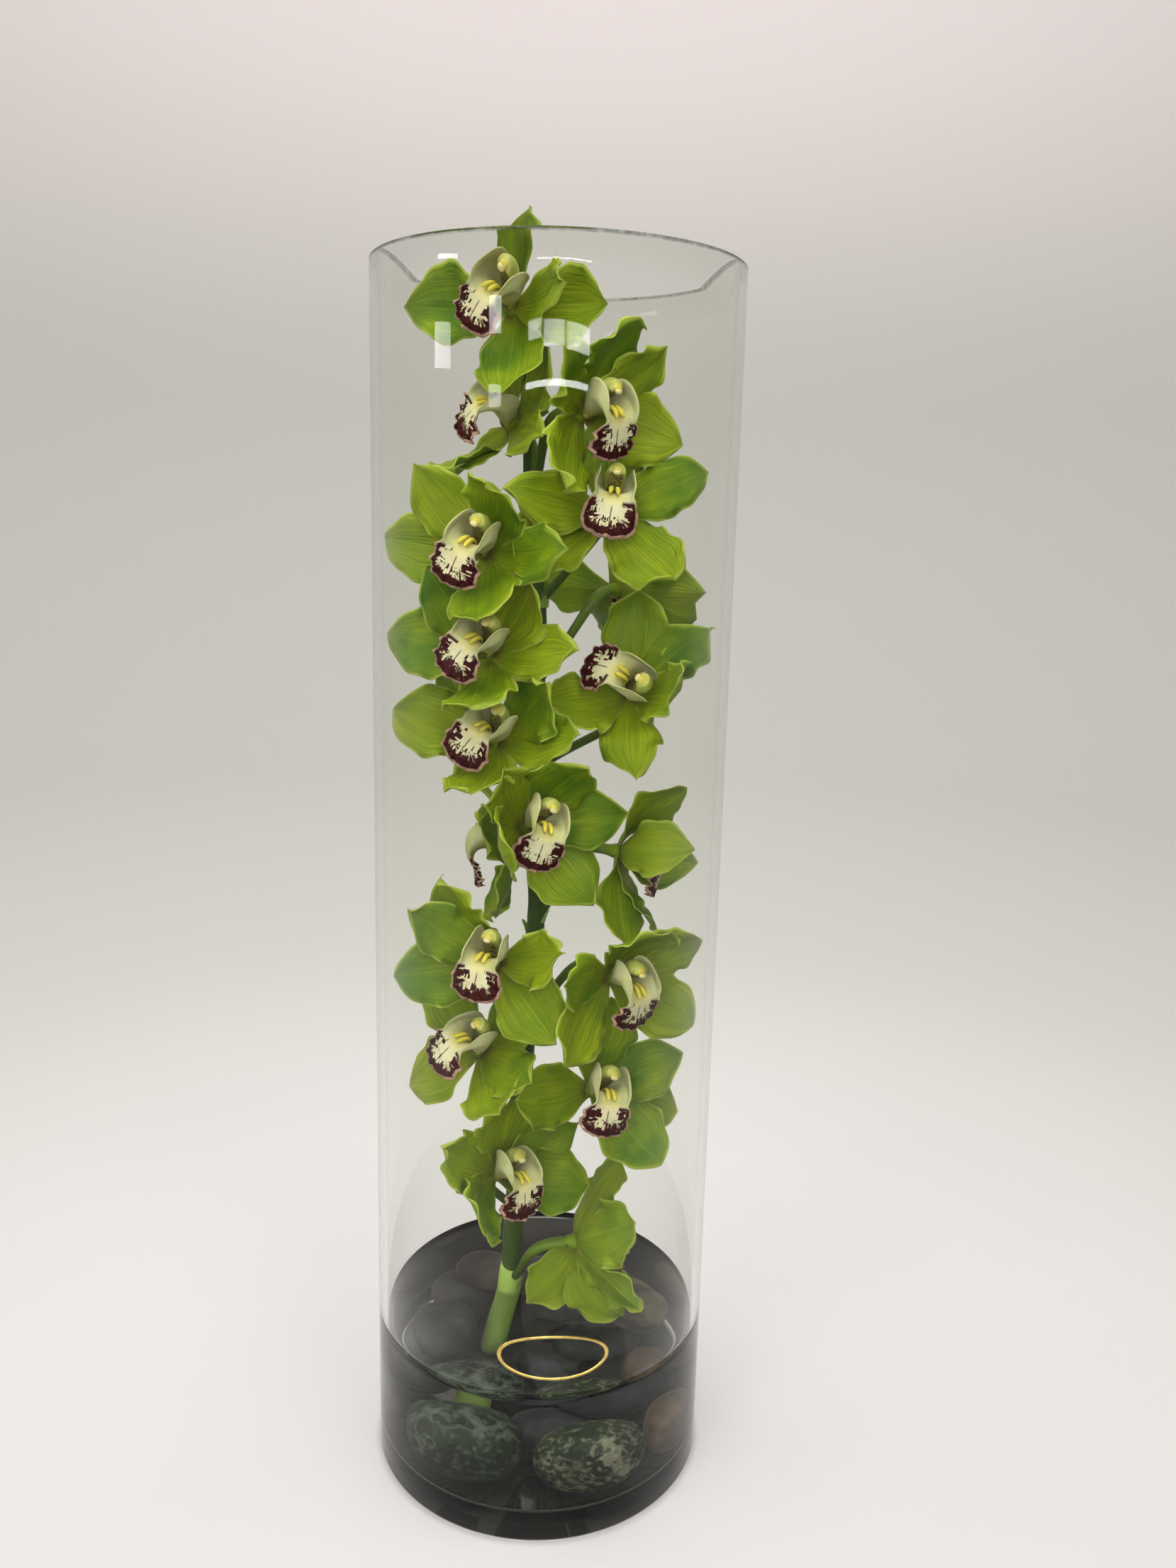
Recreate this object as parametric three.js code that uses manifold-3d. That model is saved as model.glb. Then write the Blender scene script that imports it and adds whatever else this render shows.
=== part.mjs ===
// A stem of green cymbidium orchid in a tall glass cylinder, standing among river stones in water.
// Millimetres, +Z up. The origin is the middle of the vase's foot, and the blooms' show side looks along -Y.

import * as THREE from 'three';
import { mergeVertices } from 'three/addons/utils/BufferGeometryUtils.js';
import Module from 'manifold-3d';

const wasm = await Module();
wasm.setup();

// Vase and water
const VASE_RADIUS = 101.6;
const VASE_HEIGHT = 711;
const WALL = 5;
const BASE = 15;
const FOOT_ROUND = 3;
const RIM_ROUND = 1;
const INNER_FILLET = 7;
const WATER_LEVEL = 93;
const FACETS = 40;
const GAP = 0.3;
const FINEST_DETAIL = 0.08;
const INNER_RADIUS = VASE_RADIUS - WALL;

// Stem
const STEM_SIDES = 8;
const STEM_BOTTOM_RADIUS = 7;
const STEM_TOP_RADIUS = 2.4;
const SHEATH_TOP = 112;
const SHEATH_THICKNESS = 1.1;
const PEDICEL_DROP = 48;
const PEDICEL_RADIUS = 2.1;
const OVARY_RADIUS = 3.1;
const PEDICEL_STEPS = 3;
const PEDICEL_END = 4;
const PEDICEL_SIDES = 5;

// Where the stem's middle runs, from its cut end among the stones to its tip
const STEM_PATH = [
  [-31, -2, 22],
  [-26, 3, 55],
  [-20, 9, 94],
  [-18, 12, 135],
  [-13, 14, 238],
  [-7, 14, 335],
  [-10, 14, 442],
  [-7, 14, 520],
  [-15, 12, 590],
  [-16, 10, 648],
];

// Bloom, in its own frame: x to a viewer's right, y up its face, z out of its face
const TEPAL_THICKNESS = 1;
const HUB_RADIUS = 5.2;
const HUB_BACK = -8;
const HUB_FRONT = 1.2;
const SEPAL_BACK = 2;
const ROOT_SHARE = 0.4;
const SEPAL = { length: 55, halfWidth: 18, claw: 0.2, lift: 6, bend: 16, cup: 0.16, wave: 1.6, side: 0, point: 0.66, back: SEPAL_BACK };
const PETAL = { length: 53, halfWidth: 14.5, claw: 0.2, lift: 12, bend: 20, cup: 0.12, wave: 1.4, side: 5, point: 0.82, back: 0 };
// The kind of each tepal in turn, clockwise from the top as a viewer sees them
const TEPALS = [SEPAL, PETAL, SEPAL, SEPAL, PETAL];
const HANDS = [0, 1, 1, -1, -1];
const LENGTH_STEPS = [0, 0.3, 0.58, 0.84, 1];
const WIDTH_STEPS = [-1, 0, 1];

// One row for each bloom, from the stem's tip down: the place of its middle, where it faces (turn to
// the viewer's right, tilt up, roll clockwise), its size, and the angle round the hub and the extra
// forward lift of its tepals (top sepal, right petal, right sepal, left sepal, left petal), and their
// twists where some are wrung round their own length
const BLOOMS = [
  { at: [-25, -16, 688], turn: -25, tilt: 10, roll: 35, size: 1,
    angles: [58, 63, 133, -130, -41], lifts: [-5, 22, 10, 10, -27], twists: [0, 0, 0, 0, 28] },
  { at: [-25, 1, 628], turn: -45, tilt: 25, roll: 45, size: 0.95,
    angles: [5, 70, 162, 180, -70], lifts: [15, 5, 20, -5, 5], twists: [0, 0, -30, -30, 0] },
  { at: [14, -37, 633], turn: 40, tilt: -5, roll: -5, size: 1,
    angles: [15, 60, 110, -135, -55], lifts: [18, 0, 20, 20, 15], twists: [-18, -15, 0, 0, 0] },
  { at: [28, -30, 583], turn: 5, tilt: 20, roll: 10, size: 1,
    angles: [-5, 65, 135, -130, -100], lifts: [-25, -5, 10, -5, 0] },
  { at: [-37, -38, 560], turn: -20, tilt: 10, roll: 25, size: 1,
    angles: [5, 70, 135, -110, -70], lifts: [40, 5, 30, -5, 5] },
  { at: [36, 24, 538], turn: 155, tilt: 0, roll: -15, size: 0.95,
    angles: [-10, 105, 135, -95, -80], lifts: [30, -20, 40, 15, 0] },
  { at: [-34, -36, 506], turn: -20, tilt: 20, roll: 35, size: 1,
    angles: [10, 60, 130, -120, -80], lifts: [25, 0, 35, 0, 10] },
  { at: [44, -21, 485], turn: -20, tilt: 30, roll: 105, size: 1,
    angles: [0, 65, 130, -105, -60], lifts: [35, -10, 30, 5, -5] },
  { at: [-31, -35, 457], turn: -15, tilt: 25, roll: 35, size: 1,
    angles: [20, 60, 140, -115, -80], lifts: [30, 5, 38, 10, -20] },
  { at: [-12, -42, 412], turn: 25, tilt: 5, roll: 20, size: 1,
    angles: [10, 70, 125, -124, -64], lifts: [35, 5, 10, 46, 21] },
  { at: [42, -7, 388], turn: 75, tilt: -5, roll: 15, size: 0.98,
    angles: [-5, 98, 150, -165, -83], lifts: [28, 40, 18, 5, 40], twists: [30, 0, 20, -35, 0] },
  { at: [-21, 19, 381], turn: -85, tilt: 0, roll: -10, size: 0.95,
    angles: [0, 75, 125, -150, -70], lifts: [20, 5, 5, 10, 5] },
  { at: [-29, -40, 331], turn: -15, tilt: 20, roll: 10, size: 1,
    angles: [-48, 75, 125, -115, -78], lifts: [15, 15, -5, 5, 5], twists: [50, 0, 0, 0, 0] },
  { at: [37, -37, 322], turn: 35, tilt: -5, roll: 0, size: 1,
    angles: [10, 70, 125, -135, -80], lifts: [35, 5, 20, 5, 5] },
  { at: [-38, -27, 271], turn: -30, tilt: 35, roll: 35, size: 1,
    angles: [10, 75, 95, -155, -85], lifts: [20, 5, 15, -25, 15] },
  { at: [29, -32, 249], turn: 20, tilt: 15, roll: 15, size: 1,
    angles: [-5, 60, 130, -100, 90], lifts: [7, 0, 10, 12, -20], twists: [0, 20, 0, 0, 0] },
  { at: [-27, -38, 198], turn: 40, tilt: 15, roll: 5, size: 1,
    angles: [0, 70, 106, -120, -65], lifts: [20, 5, 25, 32, 0] },
  { at: [22, -22, 145], turn: 110, tilt: -5, roll: 20, size: 1,
    angles: [-10, 145, 180, -72, -140], lifts: [20, -45, 20, 6, 8], twists: [0, 50, 60, 0, 0] },
];

// Lip: along its middle, from its root to its hanging front
const LIP_LENGTH = 43;
const LIP_RISE = 14;
const LIP_TURN = { angle: 112, from: 0.32, to: 0.74 };
const LIP_ROOT = [0, -2.2, 2.8];
const LIP_THICKNESS = 1;
const LIP_ALONG = [0, 0.2, 0.4, 0.54, 0.78, 1];
const LIP_HALF_WIDTH = [3, 8, 10.6, 11.5, 14, 7];
const LIP_WALL_HEIGHT = [3, 12, 16, 6, -1, -2.2];
const LIP_ACROSS = [-1, -0.55, 0, 0.55, 1];
const COLUMN_POINTS = [[0, -0.8, 1.5], [0, -0.8, 3.6], [0, 7.5, 12.5], [0, 12.6, 20.5], [0, 13.2, 25.5]];
const COLUMN_RADII = [2.2, 2.8, 3.7, 4.7, 2.6];
const COLUMN_SIDES = 5;

// Stones, the lowest first: the middle's place in plan, the three half-axes, the turn and the tilt
const STONES = [
  { at: [-40, -50], half: [33, 24, 22], turn: 10, tilt: 6, colour: 0x46544a },
  { at: [29, -62], half: [31, 20, 20], turn: -8, tilt: -8, colour: 0x66735f },
  { at: [69, -30], half: [17, 20, 17], turn: 20, tilt: 5, colour: 0x6b5850 },
  { at: [-73, 4], half: [16, 22, 17], turn: -12, tilt: 0, colour: 0x5d5f58 },
  { at: [55, 38], half: [26, 21, 19], turn: 35, tilt: 5, colour: 0x686552 },
  { at: [-53, 50], half: [23, 19, 16], turn: -35, tilt: 4, colour: 0x4d4b47 },
  { at: [4, 71], half: [28, 17, 17], turn: 3, tilt: -3, colour: 0x54504a },
  { at: [16, 24], half: [24, 16, 14], turn: 12, tilt: 4, colour: 0x474a49 },
  { at: [6, -20], half: [20, 16, 14], turn: -5, tilt: 0, colour: 0x3d4144 },
  { at: [-51, 9], half: [15, 10, 10], turn: 65, tilt: 3, colour: 0x4b4a45 },
  { at: [36, -12], half: [28, 15, 13], turn: 8, tilt: 3, colour: 0x36393d },
  { at: [-60, -14], half: [20, 24, 15], turn: 15, tilt: -5, colour: 0x51504b },
  { at: [62, 8], half: [22, 20, 15], turn: -30, tilt: 8, colour: 0x6d6a55 },
  { at: [-34, 55], half: [26, 18, 13], turn: -20, tilt: 3, colour: 0x585149 },
  { at: [24, 52], half: [24, 18, 13], turn: 15, tilt: -4, colour: 0x4f4b44 },
];

const STONE_SIDES = 9;
const STONE_RINGS = 5;
const STONE_START = 84;
const STONE_STEP = 2;
const WATER_GAP = 0.4;

const rad = THREE.MathUtils.degToRad;

function closedGeometry(positions, triangles) {
  const geometry = new THREE.BufferGeometry();
  geometry.setAttribute('position', new THREE.Float32BufferAttribute(positions, 3));
  geometry.setIndex(triangles);
  return geometry;
}

function toSolid(geometry) {
  const plain = geometry.clone();
  plain.deleteAttribute('normal');
  plain.deleteAttribute('uv');
  const merged = mergeVertices(plain, 1e-4);
  return new wasm.Manifold(new wasm.Mesh({
    numProp: 3,
    vertProperties: new Float32Array(merged.attributes.position.array),
    triVerts: new Uint32Array(merged.index.array),
  }));
}

function toGeometry(solid) {
  const mesh = solid.getMesh();
  return closedGeometry(Array.from(mesh.vertProperties), Array.from(mesh.triVerts));
}

function joined(geometries) {
  const whole = geometries.map(toSolid).reduce((sum, piece) => sum.add(piece));
  const [largest] = whole.decompose().sort((a, b) => b.volume() - a.volume());
  return toGeometry(largest.simplify(FINEST_DETAIL));
}

function between(x, xs, ys) {
  const last = xs.length - 1;
  const i = Math.max(1, Math.min(last, xs.findIndex((value) => value >= x)));
  const t = THREE.MathUtils.clamp((x - xs[i - 1]) / (xs[i] - xs[i - 1]), 0, 1);
  return THREE.MathUtils.lerp(ys[i - 1], ys[i], t);
}

// A thin closed sheet: a grid of points on its middle surface, thickened half to each side along the
// surface's own normal, with both faces split along the same diagonals and a wall round the edge
function sheet(columns, rows, pointAt, thickness) {
  const middle = rows.map((s) => columns.map((v) => pointAt(s, v)));
  const step = 1e-3;
  const faces = [1, -1].map((sideOf) => rows.flatMap((s, i) => columns.map((v, j) => {
    const sLow = Math.max(0, s - step);
    const sHigh = Math.min(1, s + step);
    const vLow = Math.max(-1, v - step);
    const vHigh = Math.min(1, v + step);
    const along = pointAt(sHigh, v).sub(pointAt(sLow, v));
    const across = pointAt(s, vHigh).sub(pointAt(s, vLow));
    const normal = across.cross(along).normalize();
    return middle[i][j].clone().addScaledVector(normal, sideOf * thickness / 2);
  })));
  const wide = columns.length;
  const count = rows.length * wide;
  const positions = faces.flat().flatMap((point) => point.toArray());
  const triangles = [];
  for (let i = 0; i < rows.length - 1; i += 1) {
    for (let j = 0; j < wide - 1; j += 1) {
      const a = i * wide + j;
      const b = a + 1;
      const c = a + wide;
      const d = c + 1;
      const quads = j < (wide - 1) / 2 ? [[a, b, d], [a, d, c]] : [[a, b, c], [b, d, c]];
      for (const [p, q, r] of quads) {
        triangles.push(p, q, r);
        triangles.push(p + count, r + count, q + count);
      }
    }
  }
  const rim = [];
  for (let j = 0; j < wide; j += 1) rim.push(j);
  for (let i = 1; i < rows.length; i += 1) rim.push(i * wide + wide - 1);
  for (let j = wide - 2; j >= 0; j -= 1) rim.push((rows.length - 1) * wide + j);
  for (let i = rows.length - 2; i > 0; i -= 1) rim.push(i * wide);
  rim.forEach((a, k) => {
    const b = rim[(k + 1) % rim.length];
    triangles.push(a, a + count, b, b, a + count, b + count);
  });
  return closedGeometry(positions, triangles);
}

// A closed tube with rings along a list of points, each with its own radius
function taperedTube(points, radii, sides) {
  const tangents = points.map((point, i) => {
    const before = points[Math.max(0, i - 1)];
    const after = points[Math.min(points.length - 1, i + 1)];
    return after.clone().sub(before).normalize();
  });
  const positions = [];
  const first = Math.abs(tangents[0].x) < 0.8 ? new THREE.Vector3(1, 0, 0) : new THREE.Vector3(0, 1, 0);
  let across = first.cross(tangents[0]).normalize();
  points.forEach((point, i) => {
    across = across.addScaledVector(tangents[i], -across.dot(tangents[i])).normalize();
    const other = tangents[i].clone().cross(across);
    for (let k = 0; k < sides; k += 1) {
      const angle = (2 * Math.PI * k) / sides;
      const place = point.clone();
      place.addScaledVector(across, radii[i] * Math.cos(angle));
      place.addScaledVector(other, radii[i] * Math.sin(angle));
      positions.push(...place.toArray());
    }
  });
  const triangles = [];
  for (let i = 0; i < points.length - 1; i += 1) {
    for (let k = 0; k < sides; k += 1) {
      const a = i * sides + k;
      const b = i * sides + ((k + 1) % sides);
      triangles.push(a, b, b + sides, a, b + sides, a + sides);
    }
  }
  const end = (points.length - 1) * sides;
  for (let k = 1; k < sides - 1; k += 1) {
    triangles.push(0, k + 1, k);
    triangles.push(end, end + k, end + k + 1);
  }
  return closedGeometry(positions, triangles);
}

// Vase: one turned profile, from the middle of the foot out, up, over the rim and down inside
function vaseGeometry() {
  const r = VASE_RADIUS;
  const inner = INNER_RADIUS;
  const profile = [[0, 0], [r - FOOT_ROUND, 0], [r, FOOT_ROUND]];
  profile.push([r, VASE_HEIGHT - RIM_ROUND], [r - RIM_ROUND, VASE_HEIGHT]);
  profile.push([inner + RIM_ROUND, VASE_HEIGHT], [inner, VASE_HEIGHT - RIM_ROUND]);
  for (const angle of [0, 90]) {
    const out = INNER_FILLET * (1 - Math.cos(rad(angle)));
    const down = INNER_FILLET * Math.sin(rad(angle));
    profile.push([inner - out, BASE + INNER_FILLET - down]);
  }
  profile.push([0, BASE]);
  const lathe = new THREE.LatheGeometry(profile.map(([x, y]) => new THREE.Vector2(x, y)), FACETS);
  lathe.rotateX(Math.PI / 2);
  return toGeometry(toSolid(lathe));
}

// Water: it fills the vase up to its level, round the stones and the stem's cut end
function waterSolid() {
  const r = INNER_RADIUS - GAP;
  const floor = BASE + GAP;
  const profile = [[0, floor]];
  for (const angle of [90, 0]) {
    const out = INNER_FILLET * (1 - Math.cos(rad(angle)));
    const down = INNER_FILLET * Math.sin(rad(angle));
    profile.push([r - out, floor + INNER_FILLET - down]);
  }
  profile.push([r, WATER_LEVEL], [0, WATER_LEVEL]);
  const lathe = new THREE.LatheGeometry(profile.map(([x, y]) => new THREE.Vector2(x, y)), FACETS);
  lathe.rotateX(Math.PI / 2);
  return toSolid(lathe);
}

// Stem: a bent tube that narrows upwards, a pale sheath round its foot, and a pedicel to each bloom
const stemCurve = new THREE.CatmullRomCurve3(STEM_PATH.map((p) => new THREE.Vector3(...p)));

function stemRadius(height) {
  return between(height, [40, 130, 420, 650], [STEM_BOTTOM_RADIUS, 6.4, 4.4, STEM_TOP_RADIUS]);
}

function stemPoint(height) {
  let low = 0;
  let high = 1;
  for (let i = 0; i < 30; i += 1) {
    const mid = (low + high) / 2;
    if (stemCurve.getPoint(mid).z < height) low = mid;
    else high = mid;
  }
  return stemCurve.getPoint(low);
}

function stemPiece(lowest, highest, steps, extra) {
  const points = [];
  for (let i = 0; i <= steps; i += 1) {
    points.push(stemPoint(THREE.MathUtils.lerp(lowest, highest, i / steps)));
  }
  const radii = points.map((point) => stemRadius(point.z) + extra);
  return taperedTube(points, radii, STEM_SIDES);
}

function pedicel(bloom) {
  const frame = bloomFrame(bloom);
  const out = new THREE.Vector3().setFromMatrixColumn(frame, 2);
  const hub = new THREE.Vector3(...bloom.at);
  const end = hub.clone().addScaledVector(out, HUB_BACK * bloom.size - GAP - PEDICEL_END);
  const top = STEM_PATH[STEM_PATH.length - 1][2] - 2;
  const root = stemPoint(Math.min(end.z - (bloom.drop ?? PEDICEL_DROP), top));
  const span = end.distanceTo(root);
  const leave = end.clone().sub(root).setZ(0).normalize().multiplyScalar(0.75);
  leave.z = 0.66;
  const curve = new THREE.CubicBezierCurve3(
    root,
    root.clone().addScaledVector(leave, span * 0.4),
    end.clone().addScaledVector(out, -span * 0.4),
    end,
  );
  const points = curve.getPoints(PEDICEL_STEPS);
  const radii = points.map((point, i) => THREE.MathUtils.lerp(PEDICEL_RADIUS, OVARY_RADIUS, i / PEDICEL_STEPS));
  points.push(end.clone().addScaledVector(out, PEDICEL_END));
  radii.push(OVARY_RADIUS);
  return taperedTube(points, radii, PEDICEL_SIDES);
}

function stemSolid() {
  const bottom = STEM_PATH[0][2];
  const tip = STEM_PATH[STEM_PATH.length - 1][2];
  const pieces = [stemPiece(bottom + 1, tip, 12, 0), stemPiece(bottom + 4, SHEATH_TOP, 4, SHEATH_THICKNESS)];
  pieces.push(...BLOOMS.map(pedicel));
  return pieces.map(toSolid).reduce((whole, piece) => whole.add(piece));
}

// Bloom: where it stands and faces
function bloomFrame({ at, turn, tilt, roll }) {
  const [t, e, c] = [rad(turn), rad(tilt), rad(roll)];
  const out = new THREE.Vector3(Math.sin(t) * Math.cos(e), -Math.cos(t) * Math.cos(e), Math.sin(e));
  const level = new THREE.Vector3(-Math.sin(t) * Math.sin(e), Math.cos(t) * Math.sin(e), Math.cos(e));
  const side = level.clone().cross(out);
  const up = level.clone().multiplyScalar(Math.cos(c)).addScaledVector(side, Math.sin(c));
  const right = side.multiplyScalar(Math.cos(c)).addScaledVector(level, -Math.sin(c));
  return new THREE.Matrix4().makeBasis(right, up, out).setPosition(...at);
}

// A tepal's half-width along its length: a narrow claw, widest past its middle, a rounded tip
function tepalHalfWidth(s, kind) {
  const widest = 0.56;
  if (s < widest) return kind.halfWidth * (kind.claw + (1 - kind.claw) * Math.sin((Math.PI / 2) * (s / widest)) ** 1.2);
  const t = (s - widest) / (1 - widest);
  return Math.max(0.7, kind.halfWidth * (1 - t ** 2.3) ** kind.point);
}

// A tepal's middle surface: its middle line rises and bends forward as an arc, and its blade is
// cupped across, waved along its edges and wrung by its twist
function tepal(kind, hand, angle, lift, twist, size) {
  const e = new THREE.Vector3(Math.sin(rad(angle)), Math.cos(rad(angle)), 0);
  const w = new THREE.Vector3(Math.cos(rad(angle)), -Math.sin(rad(angle)), 0);
  const out = new THREE.Vector3(0, 0, 1);
  const start = rad(kind.lift + ROOT_SHARE * lift);
  const bend = rad(kind.bend + 2 * (1 - ROOT_SHARE) * lift + 0.1);
  const pointAt = (s, v) => {
    const a = start + bend * s;
    const length = (kind.length * size) / bend;
    const half = tepalHalfWidth(s, kind) * size;
    const wrung = rad(twist) * THREE.MathUtils.smoothstep(s, 0.05, 0.5);
    const face = out.clone().multiplyScalar(Math.cos(a)).addScaledVector(e, -Math.sin(a));
    const across = w.clone().multiplyScalar(Math.cos(wrung)).addScaledVector(face, Math.sin(wrung));
    const normal = face.multiplyScalar(Math.cos(wrung)).addScaledVector(w, -Math.sin(wrung));
    const wave = kind.wave * Math.sin(9.5 * s + 1.7 * v + angle) * Math.abs(v) ** 3 * Math.min(1, 3 * s);
    const point = e.clone().multiplyScalar(2 + length * (Math.sin(a) - Math.sin(start)));
    point.addScaledVector(out, length * (Math.cos(start) - Math.cos(a)) - kind.back);
    point.addScaledVector(w, -hand * kind.side * s * s).addScaledVector(across, half * v);
    return point.addScaledVector(normal, kind.cup * half * v * v + wave);
  };
  return sheet(WIDTH_STEPS, LENGTH_STEPS, pointAt, TEPAL_THICKNESS);
}

function bloomGeometry({ angles, lifts, twists = [0, 0, 0, 0, 0], size }) {
  const hub = new THREE.CylinderGeometry(HUB_RADIUS * size, HUB_RADIUS * size * 0.7, (HUB_FRONT - HUB_BACK) * size, 6);
  hub.rotateX(Math.PI / 2);
  hub.translate(0, 0, ((HUB_FRONT + HUB_BACK) / 2) * size);
  const blades = TEPALS.map((kind, i) => tepal(kind, HANDS[i], angles[i], lifts[i], twists[i], size));
  return joined([hub, ...blades]);
}

// Lip and column: the lip is a trough whose walls stand up as side lobes, and whose front lobe
// spreads and hangs; the column arches over it and ends in the anther cap
function lipGeometry({ size }) {
  const turnAt = (s) => rad(LIP_TURN.angle * THREE.MathUtils.smoothstep(s, LIP_TURN.from, LIP_TURN.to) - LIP_RISE);
  const steps = 60;
  const line = [new THREE.Vector3(...LIP_ROOT)];
  for (let i = 0; i < steps; i += 1) {
    const a = turnAt((i + 0.5) / steps);
    const piece = LIP_LENGTH / steps;
    line.push(line[i].clone().add(new THREE.Vector3(0, -Math.sin(a) * piece, Math.cos(a) * piece)));
  }
  const pointAt = (s, v) => {
    const i = Math.min(steps - 1, Math.floor(s * steps));
    const centre = line[i].clone().lerp(line[i + 1], s * steps - i);
    const a = turnAt(s);
    const half = between(s, LIP_ALONG, LIP_HALF_WIDTH);
    const height = between(s, LIP_ALONG, LIP_WALL_HEIGHT);
    const trough = THREE.MathUtils.clamp(height / 12, 0, 1);
    const x = half * (v + trough * v * (1 - Math.abs(v)));
    centre.x += x;
    centre.addScaledVector(new THREE.Vector3(0, Math.cos(a), Math.sin(a)), height * v * v);
    return centre.multiplyScalar(size);
  };
  const lip = sheet(LIP_ACROSS, LIP_ALONG, pointAt, LIP_THICKNESS);
  const points = COLUMN_POINTS.map((p) => new THREE.Vector3(...p).multiplyScalar(size));
  const column = taperedTube(points, COLUMN_RADII.map((radius) => radius * size), COLUMN_SIDES);
  return joined([lip, column]);
}

// Stone: a smooth flattened pebble, a little squarer than an ellipsoid
function stoneGeometry({ half, turn, tilt }, grown) {
  const ball = new THREE.SphereGeometry(1, STONE_SIDES, STONE_RINGS);
  ball.rotateX(Math.PI / 2);
  const place = ball.attributes.position;
  const point = new THREE.Vector3();
  for (let i = 0; i < place.count; i += 1) {
    point.fromBufferAttribute(place, i);
    const full = (Math.abs(point.x) ** 2.4 + Math.abs(point.y) ** 2.4 + Math.abs(point.z) ** 2.4) ** (-1 / 2.4);
    point.multiplyScalar(full).multiply(new THREE.Vector3(...half.map((h) => h + grown)));
    place.setXYZ(i, ...point.toArray());
  }
  ball.rotateY(rad(tilt));
  ball.rotateZ(rad(turn));
  return ball;
}

// Stones: each is lowered until it lies on the vase's floor or on what is already there
function seatedStones(fixed) {
  const placed = [...fixed];
  return STONES.map((stone) => {
    const wide = toSolid(stoneGeometry(stone, GAP));
    const clear = (height) => {
      const moved = wide.translate([stone.at[0], stone.at[1], height]);
      return placed.every((other) => moved.intersect(other).isEmpty());
    };
    let low = STONE_START;
    while (clear(low - STONE_STEP)) low -= STONE_STEP;
    let high = low;
    low -= STONE_STEP;
    for (let i = 0; i < 8; i += 1) {
      const mid = (low + high) / 2;
      if (clear(mid)) high = mid;
      else low = mid;
    }
    placed.push(toSolid(stoneGeometry(stone, 0)).translate([stone.at[0], stone.at[1], high]));
    return new THREE.Vector3(stone.at[0], stone.at[1], high);
  });
}

function piece(name, geometry, colour, roughness) {
  const mesh = new THREE.Mesh(geometry, new THREE.MeshStandardMaterial({ color: colour, roughness, metalness: 0 }));
  mesh.name = name;
  return mesh;
}

const two = (number) => String(number).padStart(2, '0');

const orchid = new THREE.Group();
const vase = piece('vase', vaseGeometry(), 0xdfe6e4, 0.05);
const stem = piece('stem', toGeometry(stemSolid()), 0x4c7a22, 0.5);
orchid.add(vase, stem);

const seats = seatedStones([toSolid(vase.geometry), toSolid(stem.geometry)]);
let water = waterSolid();
STONES.forEach((stone, i) => {
  const mesh = piece(`stone_${two(i + 1)}`, toGeometry(toSolid(stoneGeometry(stone, 0))), stone.colour, 0.55);
  mesh.position.copy(seats[i]);
  orchid.add(mesh);
  const room = toSolid(stoneGeometry(stone, WATER_GAP));
  water = water.subtract(room.translate(seats[i].toArray()));
});
const stemRoom = stemPiece(STEM_PATH[0][2], WATER_LEVEL + 5, 4, SHEATH_THICKNESS + GAP);
water = water.subtract(toSolid(stemRoom));
const [largest] = water.decompose().sort((a, b) => b.volume() - a.volume());
orchid.add(piece('water', toGeometry(largest), 0xcfdcdc, 0.02));

BLOOMS.forEach((bloom, i) => {
  const blades = piece(`bloom_${two(i + 1)}`, bloomGeometry(bloom), 0x9cbf3c, 0.5);
  const lip = piece(`lip_${two(i + 1)}`, lipGeometry(bloom), 0xe9e4c2, 0.45);
  const flower = new THREE.Group();
  flower.applyMatrix4(bloomFrame(bloom));
  flower.add(blades, lip);
  orchid.add(flower);
});

export default orchid;
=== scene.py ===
# %% [markdown]
# # A stem of green orchids in a tall glass
#
# The object is one cut spray of a large green cymbidium orchid. It stands in a straight glass cylinder, with
# its foot in a little water among river stones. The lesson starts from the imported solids, which fix every size
# and place, and dresses each of them with a finer surface and its own finish.

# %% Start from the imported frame
import math

import bpy
import numpy as np
from mathutils import Matrix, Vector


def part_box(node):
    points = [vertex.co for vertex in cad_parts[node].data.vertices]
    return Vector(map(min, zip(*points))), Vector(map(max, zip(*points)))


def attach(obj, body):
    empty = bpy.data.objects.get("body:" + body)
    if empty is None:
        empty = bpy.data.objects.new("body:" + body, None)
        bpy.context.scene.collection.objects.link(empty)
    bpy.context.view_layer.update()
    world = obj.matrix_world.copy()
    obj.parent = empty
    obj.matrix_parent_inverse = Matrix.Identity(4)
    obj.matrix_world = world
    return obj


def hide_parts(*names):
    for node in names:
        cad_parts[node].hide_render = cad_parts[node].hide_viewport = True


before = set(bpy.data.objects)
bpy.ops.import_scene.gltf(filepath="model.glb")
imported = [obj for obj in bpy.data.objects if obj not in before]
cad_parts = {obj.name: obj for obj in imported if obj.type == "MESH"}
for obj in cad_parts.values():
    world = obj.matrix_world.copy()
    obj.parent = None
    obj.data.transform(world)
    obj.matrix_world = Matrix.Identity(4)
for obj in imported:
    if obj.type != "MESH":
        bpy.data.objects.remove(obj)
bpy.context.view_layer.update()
MM = 0.001

# %% [markdown]
# A few small tools carry the whole lesson. A smooth step fades one thing into another. A smooth curve through
# measured values gives a width or a height anywhere along a piece. A grid of points becomes a mesh in one go,
# because numpy hands whole arrays to Blender, with the marks that the finishes read later.


# %% Fades and curves
def fade(x, low, high):
    """0 below low, 1 above high, and 3t^2 - 2t^3 between them."""
    t = np.clip((x - low) / (high - low), 0, 1)
    return t * t * (3 - 2 * t)


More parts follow.
